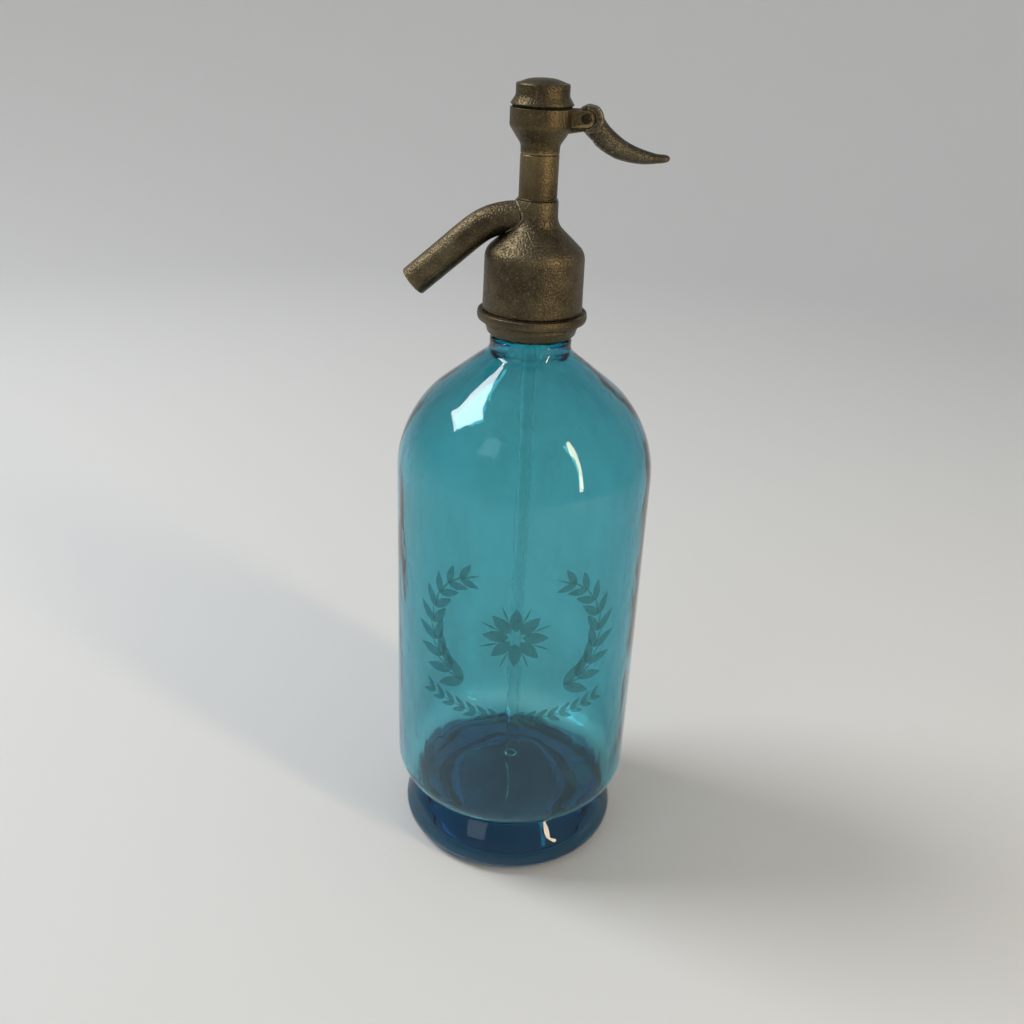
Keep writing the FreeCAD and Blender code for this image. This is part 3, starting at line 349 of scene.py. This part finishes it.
for side in (1, -1):
    for number in range(SPRAY_LEAVES):
        swing = math.radians(SPRAY_START + number * SPRAY_STEP)
        across = side * (SPRAY_OFFSET + SPRAY_WIDTH * math.cos(swing))
        up = SPRAY_HEIGHT * math.sin(swing)
        along = swing + math.pi / 2
        heading = along if side > 0 else math.pi - along
        flat.append(laid(stem, across, up, heading, 0.95))
        size = 1.0 - 0.045 * number
        for spread in (LEAF_SPREAD, -LEAF_SPREAD):
            flat.append(laid(blade, across, up, heading + spread, size))
GARLAND_HALF = 7
GARLAND_STEP, GARLAND_DROP, GARLAND_SAG = 4.7 * MM, 37 * MM, 0.09 * MM
SMALL_SPREAD = math.radians(35)
for number in range(-GARLAND_HALF, GARLAND_HALF + 1):
    slope = 0.045 * number
    across = GARLAND_STEP * number
    up = GARLAND_SAG * number ** 2 - GARLAND_DROP
    heading = slope if number >= 0 else math.pi + slope
    flat.append(laid(stem, across, up, heading, 0.6))
    for spread in (SMALL_SPREAD, -SMALL_SPREAD):
        flat.append(laid(blade, across, up, heading + spread, 0.5))
for pattern in (blade, stem, petal):
    bpy.data.objects.remove(pattern)
bpy.ops.object.select_all(action="DESELECT")
for piece in flat:
    piece.select_set(True)
bpy.context.view_layer.objects.active = flat[0]
bpy.ops.object.join()
ornament = bpy.context.object
ornament.name = "etched_ornament"
pick(ornament)
bpy.ops.mesh.subdivide(number_cuts=1)
bpy.ops.object.mode_set(mode="OBJECT")
places = [vertex.co.x for vertex in ornament.data.vertices]
sheet_width = max(places) - min(places)
BOTTLE_RADIUS = 50 * MM
apply_modifier(ornament, "SIMPLE_DEFORM", deform_method="BEND", deform_axis="Z",
               angle=sheet_width / BOTTLE_RADIUS)
pick(ornament)
bpy.ops.transform.translate(value=(0, -BOTTLE_RADIUS, ORNAMENT_HEIGHT))
bpy.ops.object.mode_set(mode="OBJECT")
apply_modifier(ornament, "SHRINKWRAP", target=bottle, wrap_method="NEAREST_SURFACEPOINT",
               wrap_mode="ABOVE_SURFACE", offset=0.05 * MM)
bpy.ops.object.shade_smooth()
etched, etched_tree, etched_shader = new_material("acid_etched_skin")
etched_shader.inputs["Base Color"].default_value = (0.045, 0.15, 0.17, 1)
etched_shader.inputs["Roughness"].default_value = 0.95
etched_place = add(etched_tree, "ShaderNodeTexCoord")
etched_noise = add(etched_tree, "ShaderNodeTexNoise", Scale=350.0, Detail=5.0, Roughness=0.7)
etched_fade = ramp(etched_tree, 0.25, 0.70, (0.48, 0.48, 0.48, 1), (0.74, 0.74, 0.74, 1))
etched_tree.links.new(etched_place.outputs["Object"], etched_noise.inputs["Vector"])
etched_tree.links.new(etched_noise.outputs["Fac"], etched_fade.inputs["Fac"])
etched_tree.links.new(etched_fade.outputs["Color"], etched_shader.inputs["Alpha"])
dress(ornament, etched)
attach(ornament, "siphon")


# The dip tube and what hangs it. A drawn tube of clear glass reaches nearly to the
# bottom; a tin ferrule with a rubber grommet holds it in the mouth.
dip_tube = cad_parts["dip_tube"]
dress(dip_tube, glass("clear_tube_glass", (0.97, 0.99, 0.99, 1), (0.92, 0.95, 0.95, 1),
                      (0.75, 0.90, 0.92, 1), density=60.0, wave_depth=0.1 * MM, scuffs=0.05))


def aged_surface():
    """Group: patina, rubbed edges, casting pits and turning rings of an old metal."""
    tree = bpy.data.node_groups.new("aged_surface", "ShaderNodeTree")
    for name, kind in (("Dark", "NodeSocketColor"), ("Brown", "NodeSocketColor"),
                       ("Bare", "NodeSocketColor"), ("Rub", "NodeSocketFloat"),
                       ("Rings", "NodeSocketFloat"), ("Pits", "NodeSocketFloat")):
        tree.interface.new_socket(name, in_out="INPUT", socket_type=kind)
    for name, kind in (("Color", "NodeSocketColor"), ("Roughness", "NodeSocketFloat"),
                       ("Height", "NodeSocketFloat")):
        tree.interface.new_socket(name, in_out="OUTPUT", socket_type=kind)
    given = tree.nodes.new("NodeGroupInput")
    result = tree.nodes.new("NodeGroupOutput")
    link = tree.links.new
    place = add(tree, "ShaderNodeTexCoord")
    shape = add(tree, "ShaderNodeNewGeometry")
    clouds = add(tree, "ShaderNodeTexNoise", Scale=85.0, Detail=6.0, Roughness=0.62)
    clouded = ramp(tree, 0.38, 0.66)
    grain = add(tree, "ShaderNodeTexNoise", Scale=1300.0, Detail=5.0, Roughness=0.65)
    grained = ramp(tree, 0.50, 0.72)
    pits = add(tree, "ShaderNodeTexVoronoi", Scale=1150.0, Randomness=1.0)
    pitted = ramp(tree, 0.10, 0.55)
    only_up = add(tree, "ShaderNodeMapping", Scale=(0.02, 0.02, 1.0))
    rings = add(tree, "ShaderNodeTexNoise", Scale=4200.0, Detail=3.0, Roughness=0.6)
    for node in (clouds, grain, pits, only_up):
        link(place.outputs["Object"], node.inputs["Vector"])
    link(only_up.outputs["Vector"], rings.inputs["Vector"])
    link(clouds.outputs["Fac"], clouded.inputs["Fac"])
    link(grain.outputs["Fac"], grained.inputs["Fac"])
    link(pits.outputs["Distance"], pitted.inputs["Fac"])
    two = add(tree, "ShaderNodeMix", data_type="RGBA")
    link(clouded.outputs["Color"], two.inputs["Factor"])
    link(given.outputs["Dark"], two.inputs["A"])
    link(given.outputs["Brown"], two.inputs["B"])
    edges = ramp(tree, 0.505, 0.56)
    link(shape.outputs["Pointiness"], edges.inputs["Fac"])
    scattered = add(tree, "ShaderNodeMath", operation="MULTIPLY")
    link(grained.outputs["Color"], scattered.inputs[0])
    scattered.inputs[1].default_value = 0.55
    worn = add(tree, "ShaderNodeMath", operation="MAXIMUM")
    link(edges.outputs["Color"], worn.inputs[0])
    link(scattered.outputs["Value"], worn.inputs[1])
    rubbed = add(tree, "ShaderNodeMath", operation="MULTIPLY", use_clamp=True)
    link(worn.outputs["Value"], rubbed.inputs[0])
    link(given.outputs["Rub"], rubbed.inputs[1])
    three = add(tree, "ShaderNodeMix", data_type="RGBA")
    link(rubbed.outputs["Value"], three.inputs["Factor"])
    link(two.outputs["Result"], three.inputs["A"])
    link(given.outputs["Bare"], three.inputs["B"])
    link(three.outputs["Result"], result.inputs["Color"])
    dull = add(tree, "ShaderNodeMapRange")
    dull.inputs["To Min"].default_value = 0.30
    dull.inputs["To Max"].default_value = 0.54
    link(clouds.outputs["Fac"], dull.inputs["Value"])
    smoother = add(tree, "ShaderNodeMath", operation="MULTIPLY_ADD")
    link(rubbed.outputs["Value"], smoother.inputs[0])
    smoother.inputs[1].default_value = -0.12
    link(dull.outputs["Result"], smoother.inputs[2])
    link(smoother.outputs["Value"], result.inputs["Roughness"])
    ring_height = add(tree, "ShaderNodeMath", operation="MULTIPLY")
    link(rings.outputs["Fac"], ring_height.inputs[0])
    link(given.outputs["Rings"], ring_height.inputs[1])
    pit_height = add(tree, "ShaderNodeMath", operation="MULTIPLY_ADD")
    link(pitted.outputs["Color"], pit_height.inputs[0])
    link(given.outputs["Pits"], pit_height.inputs[1])
    link(ring_height.outputs["Value"], pit_height.inputs[2])
    sand_height = add(tree, "ShaderNodeMath", operation="MULTIPLY_ADD")
    link(grain.outputs["Fac"], sand_height.inputs[0])
    sand_height.inputs[1].default_value = 0.9
    link(pit_height.outputs["Value"], sand_height.inputs[2])
    height = add(tree, "ShaderNodeMath", operation="MULTIPLY_ADD")
    link(clouds.outputs["Fac"], height.inputs[0])
    height.inputs[1].default_value = 0.35
    link(sand_height.outputs["Value"], height.inputs[2])
    link(height.outputs["Value"], result.inputs["Height"])
    return tree


aged = aged_surface()


def old_metal(name, dark, brown, bare, rub, rings, pits, depth=0.09):
    """An old metal whose patina, wear and marks come from the aged group."""
    material, tree, shader = new_material(name)
    shader.inputs["Metallic"].default_value = 1.0
    surface = add(tree, "ShaderNodeGroup", node_tree=aged, Dark=dark, Brown=brown, Bare=bare,
                  Rub=rub, Rings=rings, Pits=pits)
    bump = add(tree, "ShaderNodeBump", Strength=1.0, Distance=depth * MM)
    tree.links.new(surface.outputs["Color"], shader.inputs["Base Color"])
    tree.links.new(surface.outputs["Roughness"], shader.inputs["Roughness"])
    tree.links.new(surface.outputs["Height"], bump.inputs["Height"])
    tree.links.new(bump.outputs["Normal"], shader.inputs["Normal"])
    return material


tin = old_metal("tin_casting", (0.34, 0.34, 0.33, 1), (0.50, 0.50, 0.48, 1), (0.72, 0.72, 0.70, 1),
                rub=0.6, rings=0.3, pits=0.6)
dress(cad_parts["tube_ferrule"], tin)


def rubber(name, colour):
    """Old hard rubber with a dusty bloom."""
    material, tree, shader = new_material(name)
    place = add(tree, "ShaderNodeTexCoord")
    bloom = add(tree, "ShaderNodeTexNoise", Scale=700.0, Detail=5.0, Roughness=0.7)
    shade = ramp(tree, 0.35, 0.75, colour, tuple(min(1, c * 2.2) for c in colour[:3]) + (1,))
    bump = add(tree, "ShaderNodeBump", Strength=0.6, Distance=0.05 * MM)
    shader.inputs["Roughness"].default_value = 0.92
    shader.inputs["Specular IOR Level"].default_value = 0.2
    tree.links.new(place.outputs["Object"], bloom.inputs["Vector"])
    tree.links.new(bloom.outputs["Fac"], shade.inputs["Fac"])
    tree.links.new(bloom.outputs["Fac"], bump.inputs["Height"])
    tree.links.new(shade.outputs["Color"], shader.inputs["Base Color"])
    tree.links.new(bump.outputs["Normal"], shader.inputs["Normal"])
    return material


old_rubber = rubber("hard_rubber", (0.006, 0.0055, 0.005, 1))
for name in ("tube_grommet", "neck_gasket", "ferrule_gasket"):
    dress(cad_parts[name], old_rubber)


# The collar and its split ring. The ring's two halves lie under the bead of the glass;
# the turned collar slides over them from below and screws into the bell, and its
# rolled flange is gripped to tighten it.
brass = old_metal("aged_brass", (0.30, 0.20, 0.08, 1), (0.52, 0.38, 0.16, 1),
                  (0.74, 0.58, 0.28, 1), rub=0.7, rings=1.0, pits=0.2)
for name in ("split_ring_front", "split_ring_back"):
    dress(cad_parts[name], brass)
collar = turned("collar_rolled", [
    (14.4, 223.2, 0), (15.2, 223.2, 0.3), (16.55, 224.5, 0.4), (16.7, 225.2, 0.3),
    (17.35, 227.2, 0.8), (17.2, 228.3, 0.3), (18.3, 228.9, 0.5), (20.0, 228.9, 0.9),
    (20.4, 230.6, 1.0), (20.1, 232.3, 0.5), (19.2, 232.6, 0.4), (19.0, 232.15, 0.15),
    (18.62, 232.15, 0.1), (18.62, 232.55, 0.1), (16.7, 232.6, 0.2), (16.7, 240.2, 0.3),
    (15.5, 240.4, 0.2), (15.4, 226.8, 0.1), (14.4, 226.8, 0), (14.4, 223.2, 0),
], steps=160)
dress(collar, old_metal("dark_collar", (0.052, 0.044, 0.030, 1), (0.115, 0.094, 0.058, 1),
                        (0.38, 0.28, 0.13, 1), rub=0.65, rings=0.7, pits=0.9))
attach(collar, "siphon")
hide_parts("collar_ring")


# The bell of the head. One thin casting with a sloping roof and a short neck, pitted
# by its mould and rubbed to dull brass where hands held it; it screws over the collar.
bell = turned("bell_cast", [
    (16.85, 232.75, 0.1), (18.35, 232.75, 0.25), (18.45, 233.4, 0.3), (18.3, 240.0, 6),
    (18.15, 254.0, 6), (7.6, 263.8, 6.5), (7.5, 271.2, 0), (7.3, 271.75, 0.25), (5.65, 271.9, 0),
    (5.65, 269.9, 0), (4.2, 269.9, 0), (4.2, 252.0, 0), (2.6, 252.0, 0), (2.6, 245.0, 0),
    (16.6, 245.0, 1.0), (16.8, 240.4, 0), (16.85, 232.75, 0),
], steps=160, smooth_angle=40)
cast = old_metal("cast_patina", (0.055, 0.043, 0.026, 1), (0.124, 0.098, 0.058, 1),
                 (0.44, 0.34, 0.18, 1), rub=0.55, rings=0.15, pits=1.6, depth=0.085)
dress(bell, cast)
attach(bell, "siphon")
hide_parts("head_bell")
dress(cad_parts["valve_seat"], brass)


# The spout. A drawn tube of the same metal, bent while filled with sand, set in the
# head's neck with solder; its lip is filed round.
SPOUT_AXIS, SPOUT_ROOT, SPOUT_RADIUS = 265.6, -5.6, 5.6
BEND = 25.6
BEND_START = -6.1
BEND_ANGLE = math.radians(41.3)
STRAIGHT, STRAIGHT_STEPS = 28.2, 12
bpy.ops.object.select_all(action="DESELECT")
bpy.ops.mesh.primitive_circle_add(vertices=72, radius=SPOUT_RADIUS * MM,
                                  location=(SPOUT_ROOT * MM, 0, SPOUT_AXIS * MM),
                                  rotation=(0, math.pi / 2, 0))
spout = bpy.context.object
spout.name = "spout_bent"
bpy.ops.object.transform_apply(location=True, rotation=True, scale=False)
pick(spout)
first_step = ((BEND_START - SPOUT_ROOT) * MM, 0, 0)
bpy.ops.mesh.extrude_region_move(TRANSFORM_OT_translate={"value": first_step})
bpy.ops.mesh.spin(steps=40, angle=BEND_ANGLE, axis=(0, 1, 0),
                  center=(BEND_START * MM, 0, (SPOUT_AXIS - BEND) * MM))
way = Vector((-math.cos(BEND_ANGLE), 0, -math.sin(BEND_ANGLE))) * (STRAIGHT / STRAIGHT_STEPS * MM)
for _ in range(STRAIGHT_STEPS):
    bpy.ops.mesh.extrude_region_move(TRANSFORM_OT_translate={"value": way})
close_edit()
apply_modifier(spout, "SOLIDIFY", thickness=2.0 * MM, offset=-1.0, use_rim=True)
roughened(spout, "hammered", 8 * MM, 0.25 * MM)
apply_modifier(spout, "BEVEL", width=0.5 * MM, segments=3, limit_method="ANGLE",
               angle_limit=math.radians(60))
bpy.ops.object.shade_smooth_by_angle(angle=math.radians(40))
dress(spout, cast)
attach(spout, "siphon")
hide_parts("spout_tube")


# The solder seam of the spout. A thin fillet of soft solder runs round the joint of
# tube and head, lumpy and a little greyer than the castings.
bpy.ops.object.select_all(action="DESELECT")
SEAM_RADIUS = 5.75
SEAM_START = -30
bpy.ops.mesh.primitive_circle_add(vertices=96, radius=SEAM_RADIUS * MM,
                                  location=(SEAM_START * MM, 0, SPOUT_AXIS * MM),
                                  rotation=(0, math.pi / 2, 0))
seam = bpy.context.object
seam.name = "solder_seam"
bpy.ops.object.transform_apply(location=True, rotation=True, scale=False)
apply_modifier(seam, "SHRINKWRAP", target=bell, wrap_method="PROJECT", use_project_x=True,
               use_positive_direction=True, use_negative_direction=False, offset=0.0)
bpy.ops.object.convert(target="CURVE")
seam.data.bevel_depth = 0.5 * MM
seam.data.bevel_resolution = 3
bpy.ops.object.convert(target="MESH")
roughened(seam, "lumps", 2 * MM, 0.3 * MM)
bpy.ops.object.shade_smooth()
dress(seam, old_metal("old_solder", (0.060, 0.050, 0.036, 1), (0.14, 0.12, 0.085, 1),
                      (0.30, 0.26, 0.18, 1), rub=0.35, rings=0.0, pits=1.2))
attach(seam, "siphon")


# The column and the lever's cup. Both are turned, the column between two fine seams
# and the cup flared from it, slotted and fitted with two cheeks for the lever's pin.
column = turned("column_turned", [
    (4.6, 269.9, 0), (5.6, 269.9, 0), (5.6, 271.95, 0), (7.15, 271.93, 0.12),
    (7.2, 272.25, 0.12), (6.85, 272.5, 0.1), (6.85, 286.9, 0), (6.62, 287.2, 0.08),
    (6.85, 287.5, 0), (6.85, 287.8, 0), (5.4, 287.8, 0), (5.4, 291.8, 0.2),
    (4.6, 291.8, 0.1), (4.6, 269.9, 0),
], steps=128)
turned_metal = old_metal("turned_patina", (0.040, 0.031, 0.018, 1), (0.098, 0.074, 0.039, 1),
                         (0.46, 0.34, 0.16, 1), rub=0.50, rings=0.35, pits=1.5, depth=0.075)
dress(column, turned_metal)
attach(column, "siphon")
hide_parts("column_tube")


def softened(node, name, width, segments=3, angle=35):
    """A merged copy of a CAD node with its edges rounded as by a file."""
    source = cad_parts[node]
    piece = source.copy()
    piece.data = source.data.copy()
    piece.name = name
    piece.parent = None
    piece.matrix_world = Matrix.Identity(4)
    for key in list(piece.keys()):
        del piece[key]
    bpy.context.collection.objects.link(piece)
    pick(piece)
    bpy.ops.mesh.remove_doubles(threshold=0.000004)
    bpy.ops.mesh.dissolve_limited(angle_limit=math.radians(0.5))
    bpy.ops.object.mode_set(mode="OBJECT")
    apply_modifier(piece, "BEVEL", width=width * MM, segments=segments, limit_method="ANGLE",
                   angle_limit=math.radians(angle))
    bpy.ops.object.shade_smooth_by_angle(angle=math.radians(angle))
    return piece


cup = softened("lever_cup", "lever_cup_filed", width=0.4)
dress(cup, turned_metal)
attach(cup, "siphon")
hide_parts("lever_cup")
leather, leather_tree, leather_shader = new_material("greased_leather")
leather_shader.inputs["Roughness"].default_value = 0.6
leather_place = add(leather_tree, "ShaderNodeTexCoord")
leather_grain = add(leather_tree, "ShaderNodeTexVoronoi", Scale=2200.0)
leather_shade = ramp(leather_tree, 0.1, 0.8, (0.10, 0.05, 0.025, 1), (0.24, 0.14, 0.07, 1))
leather_tree.links.new(leather_place.outputs["Object"], leather_grain.inputs["Vector"])
leather_tree.links.new(leather_grain.outputs["Distance"], leather_shade.inputs["Fac"])
leather_tree.links.new(leather_shade.outputs["Color"], leather_shader.inputs["Base Color"])
dress(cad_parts["piston_packing"], leather)
dress(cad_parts["packing_gland"], brass)


# The cap and the ring under it. The turned cap screws down on a rubber ring, which
# shows as a dark line; its crown is slightly domed and its foot flares.
cap = turned("cap_domed", [
    (0, 311.65), (4.5, 311.45, 14), (8.2, 310.1, 2.0), (9.0, 309.95, 0.3), (9.3, 309.4, 0.35),
    (9.25, 306.4, 0.3), (9.5, 305.6, 0.5), (10.75, 303.75, 0.3), (10.9, 303.35, 0.2),
    (10.75, 303.1, 0.1), (8.6, 303.1, 0), (8.55, 299.2, 0.3), (8.3, 299.0, 0), (6.15, 299.0, 0),
    (6.15, 308.6, 0.3), (0, 308.6),
], steps=128)
dress(cap, old_metal("dark_cap", (0.052, 0.041, 0.023, 1), (0.112, 0.086, 0.044, 1),
                     (0.38, 0.30, 0.15, 1), rub=0.7, rings=0.8, pits=1.1))
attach(cap, "siphon")
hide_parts("screw_cap")
dress(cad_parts["cap_washer"], old_rubber)


# The lever and its pin. A casting like a horn, thick at the knuckle and drawn out to a
# blunt tip for the thumb, with a finger that reaches into the cup; a steel pin,
# riveted over on both sides, carries it between the cheeks.
lever = softened("lever", "lever_filed", width=0.9, segments=4, angle=30)
apply_modifier(lever, "REMESH", mode="VOXEL", voxel_size=0.25 * MM)
CHEEK_END, HORN_START = 17.6, 19.1
TIP_START, TIP_END = 36.0, 45.5
SWELL_MIDDLE, SWELL_REACH = 26.4, 14
horn, swell, tip = (lever.vertex_groups.new(name=name) for name in ("horn", "swell", "tip"))
for vertex in lever.data.vertices:
    along = vertex.co.x / MM
    free = share((along - CHEEK_END) / (HORN_START - CHEEK_END))
    thick = free * share(1 - abs(along - SWELL_MIDDLE) / SWELL_REACH)
    thin = share((along - TIP_START) / (TIP_END - TIP_START))
    for group, weight in ((horn, free), (swell, thick), (tip, thin)):
        group.add([vertex.index], weight, "REPLACE")
apply_modifier(lever, "SMOOTH", factor=0.5, iterations=24, vertex_group="horn")
apply_modifier(lever, "DISPLACE", strength=0.95 * MM, mid_level=0.0, vertex_group="swell")
apply_modifier(lever, "DISPLACE", strength=-0.35 * MM, mid_level=0.0, vertex_group="tip")
apply_modifier(lever, "SMOOTH", factor=0.5, iterations=12, vertex_group="horn")
bpy.ops.object.shade_smooth()
dress(lever, old_metal("cast_lever", (0.048, 0.041, 0.028, 1), (0.115, 0.096, 0.064, 1),
                       (0.42, 0.35, 0.22, 1), rub=0.7, rings=0.0, pits=1.3, depth=0.12))
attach(lever, "lever")
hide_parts("lever")
pin = turned("pin_riveted", [
    (0, -4.75), (1.0, -4.7, 0.5), (1.66, -4.3, 0.3), (1.66, 4.3, 0.3), (1.0, 4.7, 0.5), (0, 4.75),
], steps=48)
PIN_PLACE = (15.2 * MM, 0, 299.4 * MM)
pin.data.transform(Matrix.Translation(PIN_PLACE) @ Matrix.Rotation(math.pi / 2, 4, "X"))
# The pin is coloured much darker than the lever and the cup beside it.
dress(pin, old_metal("dark_pin_metal", (0.020, 0.017, 0.012, 1), (0.045, 0.038, 0.026, 1),
                     (0.12, 0.10, 0.06, 1), rub=0.3, rings=0.0, pits=1.4))
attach(pin, "siphon")
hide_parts("pivot_pin")


# The valve and its spring. The rod with its crosshead, the rubber valve on its brass
# foot and the wound spring under the cap are all hidden, and are only dressed.
for name in ("piston_rod", "valve_foot", "washer_screw", "spring_seat"):
    dress(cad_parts[name], brass)
dress(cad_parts["valve_washer"], old_rubber)
steel = old_metal("drawn_steel", (0.16, 0.15, 0.14, 1), (0.30, 0.29, 0.27, 1),
                  (0.55, 0.54, 0.52, 1), rub=0.8, rings=0.2, pits=0.3)
spring = softened("return_spring", "wound_spring", width=0.02, segments=1, angle=60)
dress(spring, steel)
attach(spring, "siphon")
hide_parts("return_spring")
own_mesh(spring)


# The stage. A pale sheet runs from the table up round the siphon in one curve.
SHEET_RADIUS, SHEET_CURVE, SHEET_HEIGHT = 2000, 900, 2600
floor = turned("pale_sheet", [(0, 0), (SHEET_RADIUS, 0, SHEET_CURVE),
                              (SHEET_RADIUS, SHEET_HEIGHT)], steps=96)
paper, paper_tree, paper_shader = new_material("pale_sheet")
paper_shader.inputs["Base Color"].default_value = (0.74, 0.75, 0.745, 1)
paper_shader.inputs["Roughness"].default_value = 0.8
dress(floor, paper)

# The lights: a broad window on the left, a tall narrow sunny one on the right, and a
# small cool one above the camera's left. Sizes are in metres and powers in watts.
for name, place, aim, size, size_y, power, colour in (
    ("left_window", (-1.0, 0.15, 1.25), (0, 0, 0.12), 0.6, 0.6, 13.0, (1.0, 1.0, 1.0)),
    ("right_window", (0.80, -0.62, 0.62), (0, 0, 0.22), 0.09, 0.9, 4.6, (1.0, 0.80, 0.55)),
    ("cool_window", (-0.75, -0.95, 1.25), (0, 0, 0.15), 0.5, 0.5, 1.0, (0.66, 0.83, 1.0)),
):
    bpy.ops.object.light_add(type="AREA", location=place)
    lamp = bpy.context.object
    lamp.name = name
    lamp.data.shape = "RECTANGLE"
    lamp.data.size = size
    lamp.data.size_y = size_y
    lamp.data.energy = power
    lamp.data.color = colour
    lamp.rotation_euler = (Vector(aim) - Vector(place)).to_track_quat("-Z", "Y").to_euler()
world = bpy.context.scene.world or bpy.data.worlds.new("room")
bpy.context.scene.world = world
world.use_nodes = True
sky = world.node_tree.nodes["Background"]
sky.inputs["Color"].default_value = (0.93, 0.95, 1.0, 1)
sky.inputs["Strength"].default_value = 0.42
bpy.context.scene.view_settings.view_transform = "Standard"

# The camera stands where the photographer's did: 26 degrees up, leaning a little.
PITCH = math.radians(25.76)
YAW = math.radians(-0.6)
ROLL = math.radians(2.63)
CAMERA_PLACE = (0, -0.37939, 0.33204)
forward = Vector((math.sin(YAW) * math.cos(PITCH), math.cos(YAW) * math.cos(PITCH),
                  -math.sin(PITCH)))
level = Vector((math.cos(YAW), -math.sin(YAW), 0))
upward = level.cross(forward)
right = math.cos(ROLL) * level + math.sin(ROLL) * upward
up = -math.sin(ROLL) * level + math.cos(ROLL) * upward
bpy.ops.object.camera_add()
camera = bpy.context.object
turn = Matrix((right, up, -forward)).transposed().to_4x4()
camera.matrix_world = Matrix.Translation(CAMERA_PLACE) @ turn
camera.data.sensor_width = 36
camera.data.lens = 36.64
camera.data.clip_start = 0.01
bpy.context.scene.camera = camera
